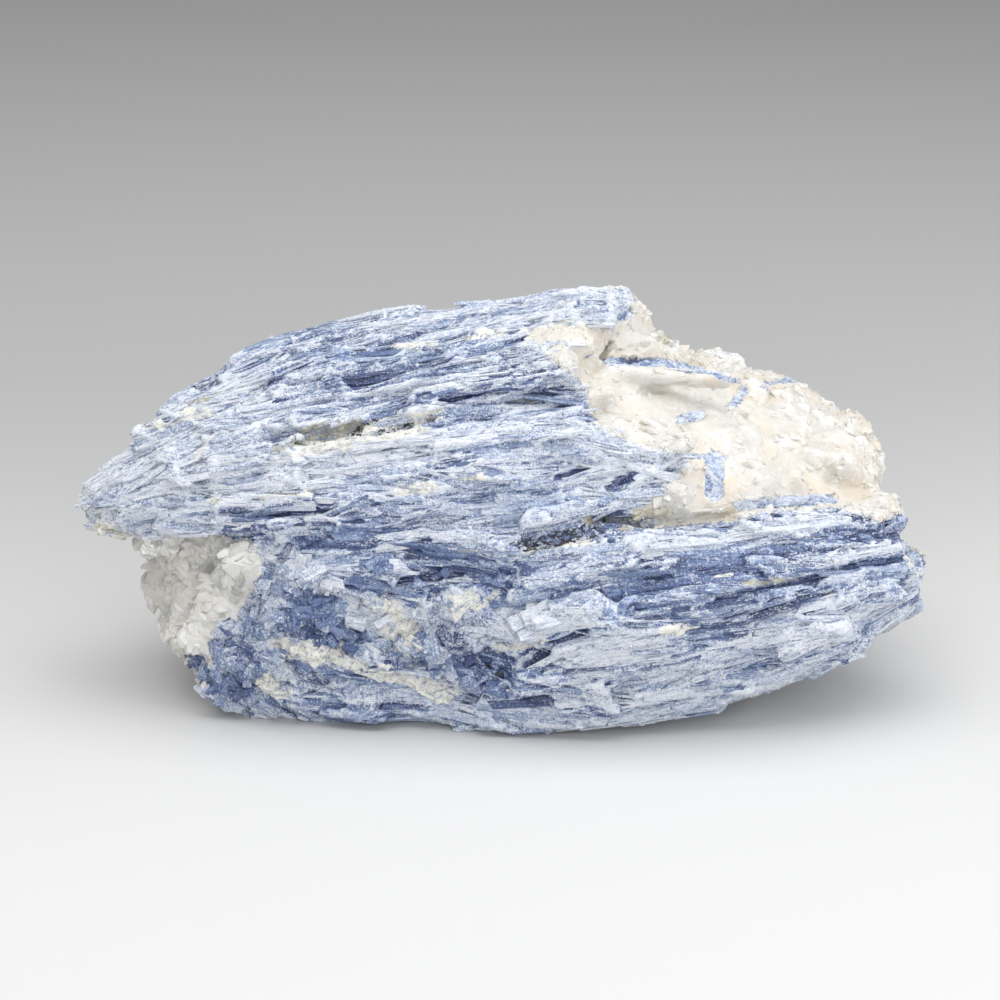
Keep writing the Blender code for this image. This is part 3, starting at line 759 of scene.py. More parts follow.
def broken_facets(coordinates, stretch, seed):
    """Tilted facets with steps between them, about 1 high, and a random number for each facet."""
    own = np.random.default_rng(seed)
    scaled = coordinates * stretch
    cells = np.unique(np.floor(scaled).astype(np.int64), axis=0)
    middles = cells + own.random(cells.shape)
    near = nearest_rows(scaled, middles, 1)[:, 0]
    tilt = own.normal(0, 0.5, middles.shape)
    height = own.uniform(-0.5, 0.5, len(middles))[near]
    height += (tilt[near] * (scaled - middles[near])).sum(axis=1)
    return np.clip(height, -0.9, 0.9), own.random(len(middles))[near]


def furrow_depth(points, normals):
    seen = as_seen(points) + wander(points, 6, 1.6, (61, 71))
    sink = np.zeros(len(points))
    for *stroke, depth in FURROWS:
        sink = np.maximum(sink, depth * (1 - smoothstep(0.3, 1.5, segment_share(seen, stroke))))
    return sink * facing_front(normals)


def grain_coordinates():
    """Coordinates that follow the grain all over the skin: along it, and up and back across it."""
    step = skin[edges[:, 1]] - skin[edges[:, 0]]
    fields = ((grain_along, skin[:, 0]), (grain_up, skin[:, 2]), (grain_back, -skin[:, 1]))
    return np.stack([
        fitted((step * (field[edges[:, 0]] + field[edges[:, 1]])).sum(axis=1) / 2, start)
        for field, start in fields
    ], axis=1)


def kyanite_tones():
    """How blue and how frosted the kyanite is, and 1 on the strokes where it has little relief."""
    blue = smoothed(bundles["blue"][owner], 1) + 0.7 * (block_number - 0.5) * blocky
    frost = smoothed(bundles["frost"][owner], 1) + 0.5 * (0.5 - block_number) * blocky
    frost += 0.45 * crushed - 0.1
    frost *= 1 - 0.8 * glassy
    wobble = np.stack([
        3 * rough_noise(grain * [1 / 9, 1 / 3, 1 / 3], 1, 210) - 1.5,
        1.4 * rough_noise(grain * [1 / 7, 1 / 2, 1 / 2], 1, 220) - 0.7,
    ], axis=1)
    calm = np.zeros(len(skin))
    for kind, (stroke_blue, stroke_frost, *_) in KINDS.items():
        share = STROKE_STRENGTH * marked(seen + wobble, kind, 0.8, 1.5) * front
        blue += (stroke_blue - blue) * share
        frost += (stroke_frost - frost) * share
        calm = np.maximum(calm, share * (kind in CALM_KINDS))
    return blue, frost, calm


def kyanite_relief():
    """Heights of the kyanite's relief. Each of its facets also gets a blue and a frost of its own."""
    height = (ledges(grain, 11) - 0.5) * LEDGE_HEIGHT * (1 - 0.5 * blocky)
    warped = grain + wander(skin, 5, 1.2, (300, 310, 320))
    for number, (stretch, rise, tone_swing) in enumerate(FACETS):
        facets, facet_number = broken_facets(warped, stretch, 310 + number)
        height += rise * facets * (1 - 0.6 * calm) * (1 + 0.8 * blocky)
        np.add(blue, tone_swing * 2 * (facet_number - 0.5) * (1 - glassy), out=blue)
        np.subtract(frost, tone_swing * 2 * (facet_number - 0.5) * (1 - glassy), out=frost)
    streak = rough_noise(grain * [1 / 12, 1 / 1.6, 1 / 1.6], 1, 21, 2)
    height += (streak - 0.5) * STREAK_HEIGHT * (1 - 0.4 * calm)
    height += smoothed(bundles["lift"][owner], 2)
    rubble = np.clip(frost + crushed + patches[:, 0], 0.2, 2)
    height += (rough_noise(skin, 2.4, 31) - 0.5) * CRUSH_HEIGHT * rubble
    height *= 1 - 0.7 * glassy
    return height + blocks * 0.8 * blocky


def quartz_relief():
    """Heights of the crust of quartz crystals, and a random number for each of its large crystals."""
    height, number = np.zeros(len(skin)), np.zeros(len(skin))
    crust = quartz_inside > QUARTZ_REACH
    on_left = skin[crust, 0] < 0
    for layer, (size, share) in enumerate(QUARTZ_CRYSTALS):
        crystals, which = crystal_relief(skin[crust], skin_normals[crust], size, 5 + layer)
        height[crust] += crystals * share * np.where(on_left, QUARTZ_LEFT_STRENGTH, 1.0)
        if layer == 0:
            number[crust] = which
    return height, number


def with_swells(height):
    for right, up, reach, rise in SWELLS:
        near = np.hypot(seen[:, 0] - right, seen[:, 1] - up) / reach
        height = height + rise * (1 - smoothstep(0.3, 1.0, near))
    return height


def ridge_at():
    """0 in the hollows of the skin, 1 on its ridges, measured against itself smoothed twice."""
    fine = ((skin - smoothed(skin, 4)) * skin_normals).sum(axis=1)
    wide = ((skin - smoothed(skin, 24)) * skin_normals).sum(axis=1)
    return np.clip(0.5 + fine / 0.5 + wide / 2.4, 0, 1)


bundles = make_bundles(Surface(skin, skin_normals))
owner = nearest_bundle(skin, skin_normals, bundles)
seen = as_seen(skin)
front = facing_front(skin_normals)

quartz_around = quartz_depth(skin, skin_normals)  # also inside the slivers of kyanite in the quartz
slivers = np.max([marked(seen, kind, 0.9, 1.5) for kind in SLIVER_KINDS], axis=0)
quartz_inside = quartz_around - SLIVER_RISE * slivers * front
quartz_share = smoothstep(-QUARTZ_EDGE, QUARTZ_EDGE, quartz_inside)

grain_along = smoothed(bundles["along"][owner], GRAIN_SMOOTHING)
in_order = smoothstep(0.75, 0.95, np.linalg.norm(grain_along, axis=1))  # 0 where bundles cross
grain_along = unit(grain_along * np.sign(grain_along[:, :1] + 1e-9))
grain_up = unit(np.array([0, 0, 1.0]) - grain_along * grain_along[:, 2:])
grain_back = np.cross(grain_along, grain_up) * -1
grain = grain_coordinates()

stains_and_shade = patches_at(skin, skin_normals)  # those in the quartz
patches = stains_and_shade.copy()  # those in the kyanite, which also turns cream towards the quartz
patches[:, 0] = np.maximum(patches[:, 0], 0.8 * smoothstep(-1.6, 0.4, quartz_inside))
blocky = smoothstep(*BLOCKY_LEAN, lean_at(skin)) * (1 - quartz_share)
blocks, block_number = crystal_relief(skin, skin_normals, BLOCK_SIZE, 3, planes=6)
crushed = smoothstep(*CRUSHED, rough_noise(grain * [0.35, 1, 1], 5, 170, 4))
glassy = marked(seen, "glass", 0.7, 1.1) * front

blue, frost, calm = kyanite_tones()
kyanite_height = kyanite_relief()
quartz_height, quartz_number = quartz_relief()
height = kyanite_height * (1 - quartz_share) + quartz_height * quartz_share
height = with_swells(height - furrow_depth(skin, skin_normals))

skin = skin + skin_normals * height[:, None]
skin[:, 2] = np.maximum(skin[:, 2], 0)
ridge = ridge_at()
skin_normals = normals_of(skin, quads)
stone = Surface(skin, skin_normals)

# ----------------------------------------
# Looks of a place, for the materials: look is blue, frost, cream and olive

def clipped_look(blue, frost, patches):
    """Rows of looks, kept within what the materials can show."""
    blue, frost = np.clip(blue, -0.2, 1.1), np.clip(frost, -0.4, 1.2)
    return np.column_stack([blue, frost, patches[:, 0], patches[:, 1]])


# ----------------------------------------
# Slabs: flat blades with uneven ends

SECTIONS = {  # a blade's cross-section, by its number of corners, as shares of width and thickness
    4: np.array([(-0.5, -0.4), (0.46, -0.5), (0.5, 0.4), (-0.46, 0.5)]),
    6: np.array([(-0.5, 0.0), (-0.42, -0.5), (0.42, -0.5), (0.5, 0.0), (0.42, 0.5), (-0.42, 0.5)]),
}


def ends_on_skin(places, normals, along, length):
    """Where a blade of that length starts and ends, when it lies on the stone or stands out of it."""
    end_on = np.abs((along * normals).sum(1)) > END_ON
    half = along * length[:, None] / 2
    first, last = stone.nearest(places - half), stone.nearest(places + half)
    outward = along * np.sign((along * normals).sum(1))[:, None]
    stub = np.minimum(length, 5)[:, None]
    first = np.where(end_on[:, None], places - outward * stub, first)
    last = np.where(end_on[:, None], places + outward * rng.uniform(-0.3, 0.3, (len(places), 1)), last)
    stretch = np.linalg.norm(last - first, axis=1)
    bad = (stretch < 0.5 * np.minimum(length, stub[:, 0])) | (stretch > 1.3 * length + 1)
    return first, last, ~bad


def slabs(name, rows, sides, ragged):
    """One object of many flat blades. rows is a dict of arrays with a row for each blade."""
    first, last, width, thickness = rows["first"], rows["last"], rows["width"], rows["thickness"]
    count = len(first)
    along = unit(last - first)
    across = unit(np.cross(rows["facing"], along))
    out = np.cross(along, across)
    verts = np.empty((count, 2, sides, 3))
    blade = np.empty((count, 2, sides, 3))
    number = rng.random(count)
    for end, middle in enumerate((first, last)):
        sign = 2 * end - 1
        taper = rng.uniform(0.55, 1.0, count)
        skew = rng.normal(0, 0.6, count) * ragged
        for corner, (aside, above) in enumerate(SECTIONS[sides]):
            reach = sign * (skew * aside * width + rng.uniform(-0.5, 0.1, count) * width * ragged)
            verts[:, end, corner] = (
                middle + along * reach[:, None] + across * (aside * width * taper)[:, None]
                + out * (above * thickness * rng.uniform(0.75, 1.0, count))[:, None]
            )
            blade[:, end, corner] = np.stack([np.full(count, 2 * aside), np.full(count, sign), number], 1)
    ring = np.arange(sides)
    walls = np.stack([ring, np.roll(ring, -1), sides + np.roll(ring, -1), sides + ring], axis=1)
    if sides == 4:
        caps = np.array([[3, 2, 1, 0], [4, 5, 6, 7]])
    else:
        caps = np.array([[5, 2, 1, 0], [5, 4, 3, 2], [6, 7, 8, 11], [8, 9, 10, 11]])
    made = loose_object(name, verts, np.concatenate([walls, caps])[None], 4)
    at = rows["at"]
    offset = verts - skin[at][:, None, None]
    fields = (grain_along, grain_up, grain_back)
    local = np.stack([(offset * field[at][:, None, None]).sum(-1) for field in fields], -1)
    store(
        made, look=rows["look"], dark=rows["dark"], ridge=rows["ridge"], blade=blade.reshape(-1, 3),
        grain=(grain[at][:, None, None] + local).reshape(-1, 3),
    )
    return made


def chosen(rows, keep):
    """The rows to keep."""
    return {name: values[keep] for name, values in rows.items()}


# ----------------------------------------
# Shards: broken lumps with flat faces

SHAPES = 40  # how many shards of each kind there are to pick from
LUMP_PARTS = 7
BALL_POINTS = 13
GRAIN_SHIFT = 50  # each shard reads the materials' noise up to this far away, so no two look alike


def box_corners():
    """Corners of an uneven box."""
    corners = np.array(list(np.ndindex(2, 2, 2))) * 2.0 - 1
    return corners * rng.uniform(0.6, 1.0, (8, 3))


def ball_corners():
    """Random points of a ball, whose hull has many small faces."""
    return unit(jitter(BALL_POINTS))


def shard_shapes(draw_corners):
    """Corners and triangles of the hulls of a few points each."""
    corners, faces = [], []
    while len(corners) < SHAPES:
        hull = bmesh.new()
        for point in draw_corners():
            hull.verts.new(point)
        bmesh.ops.convex_hull(hull, input=hull.verts)
        bmesh.ops.recalc_face_normals(hull, faces=hull.faces)
        hull.verts.index_update()
        if len(hull.faces) == 2 * len(hull.verts) - 4:  # true where all the points are on the hull
            corners.append([tuple(vert.co) for vert in hull.verts])
            faces.append([[vert.index for vert in face.verts] for face in hull.faces])
        hull.free()
    return np.array(corners), np.array(faces)


def shards(name, shapes, rows):
    """One object of many shards. rows is a dict of arrays with a row for each shard."""
    corners, faces = shapes
    count = len(rows["place"])
    picked = rng.integers(0, SHAPES, count)
    local = corners[picked] * rows["size"][:, None] / 2
    axes = np.stack([rows["along"], np.cross(rows["facing"], rows["along"]), rows["facing"]], axis=1)
    verts = rows["place"][:, None] + local @ axes
    made = loose_object(name, verts, faces[picked], 3)
    store(
        made, look=rows["look"], dark=rows["dark"], ridge=np.full(count, 0.5),
        blade=rows["number"][:, None] * [0, 0, 1],
        grain=(local + GRAIN_SHIFT * rng.random((count, 1, 3))).reshape(-1, 3),
    )
    return made


def lump_rows(kind):
    """Rows for the shards of the named lumps."""
    found = {"place": [], "along": [], "facing": [], "size": [], "look": [], "dark": [], "number": []}
    for right, up, length, height, lean, *tone in LUMPS[kind]:
        middle, normal = stone.under(right, up)
        if middle is None:
            continue
        lean = math.radians(lean)
        along = math.cos(lean) * np.array([1.0, 0, 0]) + math.sin(lean) * UPWARD
        facing = unit(normal - 1.2 * FORWARD)
        for _ in range(LUMP_PARTS):
            turned = unit(along + rng.normal(0, 0.16, 3))
            out = unit(facing + rng.normal(0, 0.16, 3))
            turned = unit(turned - out * (turned @ out))
            side = np.cross(out, turned)
            shift = rng.uniform(-0.3, 0.3, 2) * (length, height)
            size = np.array([length, height, 0.45 * height]) * rng.uniform(0.4, 0.8, 3)
            place = stone.nearest([middle + turned * shift[0] + side * shift[1]])[0]
            found["place"].append(place - out * size[2] * 0.22)
            found["along"].append(turned)
            found["facing"].append(out)
            found["size"].append(size)
            found["dark"].append(0.0)
            if kind == "quartz":
                found["look"].append((0, 0, 0, 0))
                found["number"].append(np.clip(tone[0] + rng.normal(0, 0.12), 0, 1.4))
            else:
                own_tone = np.array([*tone, 0]) + rng.normal(0, 1, 4) * [0.1, 0.15, 0, 0]
                found["look"].append(own_tone)
                found["number"].append(rng.random())
    return {name: np.array(values, float) for name, values in found.items()}


def joined(one, other):
    """Two sets of rows as one."""
    return {name: np.concatenate([one[name], other[name]]) for name in one}


# ----------------------------------------
# Pieces of kyanite

LEFT_TIP = -96  # no blades are laid beyond this x
ALIGNED = 0.92  # least cosine of the angle between a blade and the grain at its ends
STAND_OUT = 0.7  # how far a blade's middle line may be outside the skin
LAMELLAE = 4400  # how many are strewn; those that don't lie well are left out
LAMELLA = {
    "width_range": (0.8, 2.8), "slimness": (2.5, 7), "thickness_share": (0.2, 0.4),
    "lean": 0.03, "rise_range": (-0.4, 0.15),
}
SPLINTERS = 19000
SPLINTER = {
    "width_range": (0.28, 0.9), "slimness": (4, 13), "thickness_share": (0.4, 0.8),
    "lean": 0.04, "rise_range": (-0.4, 0.25),
}
BLOCKS = 3800
CRUMBS = 13000
OCTAHEDRON = [(1, 0, 0), (-1, 0, 0), (0, 1, 0), (0, -1, 0), (0, 0, 1), (0, 0, -1)]
OCTAHEDRON_FACES = [
    (0, 2, 4), (2, 1, 4), (1, 3, 4), (3, 0, 4), (2, 0, 5), (1, 2, 5), (3, 1, 5), (0, 3, 5),
]


def laid_blades(count, weight, width_range, slimness, thickness_share, lean, rise_range):
    """Rows for blades laid along the grain at random places.

    slimness is length over width, and thickness_share and rise_range are shares of width and thickness."""
    places, normals, at = stone.scatter(count, weight)
    loose = (0.25 + 0.45 * blocky[at])[:, None]
    along = unit(grain_along[at] * (1 - loose) + bundles["along"][owner[at]] * loose)
    along = unit(along + lean * jitter(count))
    width = np.exp(rng.uniform(*np.log(width_range), count))
    length = width * rng.uniform(*slimness, count) + 1.2
    thickness = width * rng.uniform(*thickness_share, count)
    first, last, good = ends_on_skin(places, normals, along, length)
    end_on = np.abs((along * normals).sum(1)) > END_ON
    rise = np.where(end_on, 0, rng.uniform(*rise_range, count) * thickness)[:, None] * normals
    facing = unit(normals + 0.25 * bundles["normal"][owner[at]] + 0.12 * jitter(count))
    rows = {
        "first": first + rise, "last": last + rise, "facing": facing, "width": width,
        "thickness": thickness, "at": at, "ridge": np.clip(0.5 + 0.5 * (ridge[at] - 0.5), 0, 1),
        "look": clipped_look(
            blue[at] + rng.normal(0, 0.11, count), frost[at] + rng.normal(0, 0.16, count), patches[at]
        ),
        "dark": patches[at, 2],
    }
    keep = good & (quartz_inside[at] < -0.3) & (quartz_around[at] < 1.5) & (patches[at].sum(axis=1) < 0.6)
    keep &= (places[:, 2] > 0.8) & (places[:, 0] > LEFT_TIP)
    for share in (0.0, 0.5, 1.0):
        keep &= stone.outside(rows["first"] * (1 - share) + rows["last"] * share) < STAND_OUT
    for end in ("first", "last"):
        grain_there = grain_along[stone.nearest_vertex(rows[end])]
        keep &= np.abs((grain_there * along).sum(axis=1)) > ALIGNED
    return chosen(rows, keep)


def lay_lamellae():
    """Broad flat blades."""
    weight = (1 - glassy) * (1 - 0.75 * blocky) * in_order
    rows = laid_blades(LAMELLAE, weight, **LAMELLA)
    return slabs("kyanite_blades", rows, 6, 1.0)


def lay_splinters():
    """Fine splinters, in two pieces."""
    weight = (1 - glassy) * (0.3 + bundles["fray"][owner]) * (1 - 0.65 * blocky) * in_order
    weight *= 0.7 + 0.5 * front
    rows = laid_blades(SPLINTERS, weight, **SPLINTER)
    half = np.arange(len(rows["width"])) < len(rows["width"]) // 2
    return [slabs("kyanite_splinters_1", chosen(rows, half), 4, 1.4),
            slabs("kyanite_splinters_2", chosen(rows, ~half), 4, 1.4)]


def lay_blocks():
    """Broken lumps of kyanite: big in the jumble, small on the frosted places."""
    wanted = 1.7 * blocky + np.clip(frost, 0, 1) ** 2 * (0.25 + crushed)
    wanted[(quartz_inside > -0.5) | (skin[:, 2] < 1.5)] = 0
    wanted *= 1 - 0.9 * glassy
    places, normals, at = stone.scatter(BLOCKS, wanted)
    jumble = blocky[at] > 0.3
    share = rng.random(BLOCKS)
    size = np.where(jumble, np.exp(0.5 + share * np.log(4.0)), np.exp(-0.4 + share * np.log(3.0)))
    facing = unit(normals + 0.4 * jitter(BLOCKS))
    lean = np.where(jumble, 0.9, 0.2)[:, None] * jitter(BLOCKS)
    proportions = rng.uniform((0.8, 0.45, 0.3), (1.4, 0.8, 0.6), (BLOCKS, 3))
    tone = rng.random(BLOCKS)
    rows = {
        "place": places - normals * (size * proportions[:, 2] * rng.uniform(0.1, 0.45, BLOCKS))[:, None],
        "along": unit(np.cross(np.cross(facing, grain_along[at] + lean), facing)), "facing": facing,
        "size": size[:, None] * proportions, "dark": patches[at, 2], "number": rng.random(BLOCKS),
        "look": clipped_look(blue[at] + 0.6 * (tone - 0.5), frost[at] + 0.8 * (0.5 - tone), patches[at]),
    }
    return shards("kyanite_blocks", shard_shapes(box_corners), joined(rows, lump_rows("kyanite")))


def scatter_crumbs():
    """Grains of crushed kyanite and quartz, thickest on the frosted and the cream places."""
    edge = np.exp(-((quartz_inside / 2.5) ** 2))
    wanted = 0.1 + 0.5 * np.clip(frost, 0, 1) * ridge + 0.8 * crushed + patches[:, 0] + 1.2 * edge
    wanted[(quartz_inside > 4) | (skin[:, 2] < 0.6)] = 0
    places, normals, at = stone.scatter(CRUMBS, wanted)
    size = np.exp(rng.normal(-0.95, 0.36, CRUMBS))
    offsets = np.array(OCTAHEDRON, float)[None] * rng.uniform(0.5, 1.3, (CRUMBS, 6, 1))
    offsets = offsets + 0.2 * rng.normal(0, 1, (CRUMBS, 6, 3))
    frame_x = unit(jitter(CRUMBS))
    frame_y = unit(np.cross(frame_x, jitter(CRUMBS)))
    axes = np.stack([frame_x, frame_y, np.cross(frame_x, frame_y)], axis=1)
    verts = places[:, None] + (offsets @ axes) * size[:, None, None] / 2
    verts += (normals * rng.uniform(-0.15, 0.3, (CRUMBS, 1)))[:, None]
    made = loose_object("kyanite_crumbs", verts, np.array(OCTAHEDRON_FACES)[None], 3)
    look = clipped_look(blue[at] - 0.15, frost[at] + 0.3, patches[at])
    blade = np.stack([np.full(CRUMBS, 0.3), np.full(CRUMBS, 0.3), rng.random(CRUMBS)], axis=1)
    store(made, look=look, dark=patches[at, 2], ridge=np.full(CRUMBS, 0.75), blade=blade, grain=grain[at])
    return made


def cut_out(name, faces_kept, patches, smooth=True):
    """Part of the stone's own surface, as an object."""
    used, renumbered = np.unique(quads[faces_kept], return_inverse=True)
    made = mesh_object(name, skin[used], renumbered.reshape(-1, 4), 4)
    if smooth:
        made.data.shade_smooth()
    whiteness = np.where(skin[:, 0] < 0, 0.15 + 0.85 * quartz_number, 0.5 + 0.3 * quartz_number)
    number = np.where(quartz_share > 0.5, whiteness, block_number * blocky)
    store(
        made, look=clipped_look(blue, frost, patches)[used], dark=patches[used, 2], ridge=ridge[used],
        blade=number[used, None] * [0, 0, 1], grain=grain[used],
    )
    return made


# ----------------------------------------
# Pieces of quartz

CHIPS = 2400
CHIP_SIZES = (1.2, 4.6)


def lay_chips():
    """Broken quartz crystals, thickest along the edge of the quartz on the right."""
    rim = 3 * np.exp(-((quartz_inside / 4) ** 2)) * smoothstep(20, 50, skin[:, 0])
    rim += np.where(skin[:, 0] < 0, 1.4, 0.4)
    wanted = rim * smoothstep(-0.5, 1.0, quartz_inside) * (skin[:, 2] > 2)
    places, normals, at = stone.scatter(CHIPS, wanted)
    on_left = skin[at, 0] < 0
    size = np.exp(rng.uniform(*np.log(CHIP_SIZES), CHIPS)) * np.where(on_left, 1.3, 1.0)
    facing = unit(normals + 0.45 * jitter(CHIPS))
    rows = {
        "place": places - normals * (size * rng.uniform(0.08, 0.3, CHIPS))[:, None],
        "along": unit(np.cross(facing, jitter(CHIPS))), "facing": facing,
        "size": size[:, None] * rng.uniform((0.8, 0.6, 0.5), (1.3, 0.9, 0.8), (CHIPS, 3)),
        "dark": stains_and_shade[at, 2], "look": clipped_look(blue[at], frost[at], stains_and_shade[at]),
        "number": np.where(on_left, rng.uniform(0.1, 1.1, CHIPS), rng.uniform(0.45, 1.0, CHIPS)),
    }
    return shards("quartz_chips", shard_shapes(ball_corners), joined(rows, lump_rows("quartz")))


# ----------------------------------------
# Materials

class Shader:
    """A node material, made step by step."""

    def __init__(self, name):
        self.material = bpy.data.materials.new(name)
        self.material.use_nodes = True
        self.tree = self.material.node_tree
        self.surface = self.tree.nodes["Principled BSDF"]

    def add(self, kind, settings=None, **inputs):
        """A new node. Inputs are named as its sockets are, with _ for a space, or _0, _1 ... by number."""
        node = self.tree.nodes.new("ShaderNode" + kind)
        for key, value in (settings or {}).items():
            setattr(node, key, value)
        for key, value in inputs.items():
            self.plug(node, key, value)
        return node

    def plug(self, node, key, value):
        """Links another node's output to an input, or gives the input a plain value."""
        socket = node.inputs[int(key[1:])] if key[0] == "_" else node.inputs[key.replace("_", " ")]
        if isinstance(value, bpy.types.NodeSocket):
            self.tree.links.new(value, socket)
        else:
            socket.default_value = value

    def math(self, operation, a, b=0.0):
        return self.add("Math", {"operation": operation}, _0=a, _1=b).outputs[0]

    def swing(self, value, amount, middle=0.5):
        """A value's distance from its middle, times an amount."""
        return self.math("MULTIPLY", self.math("SUBTRACT", value, middle), amount)

    def total(self, *values):
        result = values[0]
        for value in values[1:]:
            result = self.math("ADD", result, value)
        return result

    def attribute(self, name):
        return self.add("Attribute", {"attribute_name": name})

    def noise(self, vector, scale, detail=3.0, roughness=0.55):
        """Noise over a vector, which is first stretched by three scales."""
        where = self.scaled(vector, scale)
        made = self.add("TexNoise", Vector=where, Scale=1.0, Detail=detail, Roughness=roughness)
        return made.outputs["Fac"]

    def scaled(self, vector, scale):
        return self.add("VectorMath", {"operation": "MULTIPLY"}, _0=vector, _1=scale).outputs[0]

    def ramp(self, value, stops):
        node = self.add("ValToRGB", Fac=value)
        elements = node.color_ramp.elements
        while len(elements) < len(stops):
            elements.new(1.0)
        for element, (place, color) in zip(elements, stops):
            element.position = place
            element.color = color
        return node.outputs["Color"]

    def smooth(self, value, low, high):
        settings = {"interpolation_type": "SMOOTHSTEP"}
        return self.add("MapRange", settings, Value=value, From_Min=low, From_Max=high).outputs[0]

    def mix(self, share, a, b):
        return self.add("Mix", {"data_type": "RGBA"}, _0=share, _6=a, _7=b).outputs[2]

    def finish(self, **inputs):
        for key, value in inputs.items():
            self.plug(self.surface, key, value)
        return self.material


def srgb(red, green, blue):
    """A colour as it is seen on a screen, 0 to 255, as the four linear numbers of a material."""
    return *(((c / 255 + 0.055) / 1.055) ** 2.4 for c in (red, green, blue)), 1.0


FROST = srgb(229, 232, 237)
HAZE = srgb(207, 214, 225)
ICE = srgb(196, 204, 221)
SKY = srgb(164, 180, 207)
MID = srgb(127, 148, 185)
DEEP = srgb(91, 113, 159)
INK = srgb(58, 76, 121)
CREAM = srgb(238, 236, 227)
PASTE = srgb(214, 213, 207)
OLIVE = srgb(170, 164, 142)
BLACK = srgb(44, 44, 52)
MILK = srgb(206, 203, 197)
HONEY = srgb(209, 200, 186)
SMOKE = srgb(162, 163, 161)
SNOW = srgb(220, 219, 216)


def stained_and_shaded(s, color, look, dark, fine):
    """The cream and olive stains over a colour, and the black specks of painted shade in crevices."""
    parts = s.add("SeparateColor", Color=look.outputs["Color"])
    cream = s.smooth(s.math("MULTIPLY", parts.outputs[2], s.total(0.8, s.swing(fine, 3.0))), 0.3, 0.7)
    tint = s.mix(s.smooth(fine, 0.35, 0.6), PASTE, CREAM)
    color = s.mix(cream, color, tint)
    olive = s.smooth(s.math("MULTIPLY", look.outputs["Alpha"], s.total(0.8, s.swing(fine, 4.0))), 0.2, 1.2)
    color = s.mix(olive, color, OLIVE)
    # Black specks: painted shade in the crevices along the black strokes.
    black = s.smooth(s.math("MULTIPLY", dark.outputs["Fac"], s.total(0.75, s.swing(fine, 4.5))), 0.62, 0.8)
    return s.mix(black, color, BLACK)


def kyanite():
    s = Shader("kyanite")
    along = s.attribute("grain").outputs["Vector"]
    blade = s.add("SeparateXYZ", Vector=s.attribute("blade").outputs["Vector"])
    look, dark = s.attribute("look"), s.attribute("dark")
    ridge = s.attribute("ridge").outputs["Fac"]
    parts = s.add("SeparateColor", Color=look.outputs["Color"])
    band = s.noise(along, (0.06, 0.6, 0.6), 2.0)
    streak = s.noise(along, (0.12, 2.0, 2.0), 3.0, 0.6)
    fine = s.noise(along, (0.38, 3.4, 3.4), 3.0, 0.7)
    place = s.add("TexCoord").outputs["Object"]
    powder = s.noise(place, (700, 700, 900), 3.0, 0.8)
    speckle = s.noise(place, (2200, 2200, 2200), 2.0, 0.6)

    # The ridge terms paint the hollows a darker blue and the ridges whiter: partly frost on worn edges,
    # partly painted shade and light.
    blue = s.total(parts.outputs[0], s.swing(band, 0.45), s.swing(streak, 0.75), s.swing(fine, 0.9),
                   s.swing(ridge, -0.5), s.swing(blade.outputs[2], 0.12))
    color = s.ramp(blue, [(0.05, ICE), (0.36, SKY), (0.6, MID), (0.84, DEEP), (1.05, INK)])

    across = s.math("POWER", s.math("ABSOLUTE", blade.outputs[0]), 6.0)
    ends = s.math("POWER", s.math("ABSOLUTE", blade.outputs[1]), 16.0)
    edge = s.math("MAXIMUM", across, ends)
    white = s.total(s.math("MULTIPLY", parts.outputs[1], 0.9), s.math("MULTIPLY", edge, 0.15),
                    s.swing(ridge, 0.9), s.swing(band, 0.35), s.swing(streak, 0.6), s.swing(fine, 1.9),
                    s.swing(powder, 1.6), s.swing(speckle, 3.0))
    white = s.smooth(white, -0.05, 1.1)
    frosty = s.mix(s.smooth(s.math("ADD", fine, s.swing(powder, 0.5)), 0.35, 0.65), HAZE, FROST)
    color = s.mix(white, color, frosty)
    color = stained_and_shaded(s, color, look, dark, powder)
    # Painted shade: the colour is darkened in fine pits and hollows, less where it is frosted white.
    painted_pit_shade_mask = s.smooth(s.total(fine, s.swing(speckle, 0.8), s.swing(ridge, 0.35)), 0.32, 0.48)
    shade = s.mix(white, (0.62, 0.65, 0.72, 1), (0.88, 0.90, 0.93, 1))
    color = s.mix(painted_pit_shade_mask, s.scaled(color, shade), color)
    # Painted shade: thin dark lines along the grain stand for the shade inside fine cracks.
    crack_shade_lines = s.math("ABSOLUTE", s.swing(s.noise(along, (0.05, 0.5, 0.5), 2.0), 1.0))
    crack_shade_lines = s.total(crack_shade_lines, s.swing(s.noise(along, (0.1, 0.5, 0.5), 2.0), -0.5))
    painted_crack_shade = s.mix(white, (0.46, 0.50, 0.60, 1), (0.68, 0.71, 0.78, 1))
    color = s.mix(s.smooth(crack_shade_lines, -0.04, 0.02), s.scaled(color, painted_crack_shade), color)

    height = s.total(s.math("MULTIPLY", fine, 0.7), s.math("MULTIPLY", speckle, 0.35), streak)
    bump = s.add("Bump", Height=height, Strength=0.8, Distance=0.0005)
    roughness = s.math("ADD", s.math("MULTIPLY", white, 0.3), 0.34)
    return s.finish(Base_Color=color, Roughness=roughness, IOR=1.6, Normal=bump.outputs[0])


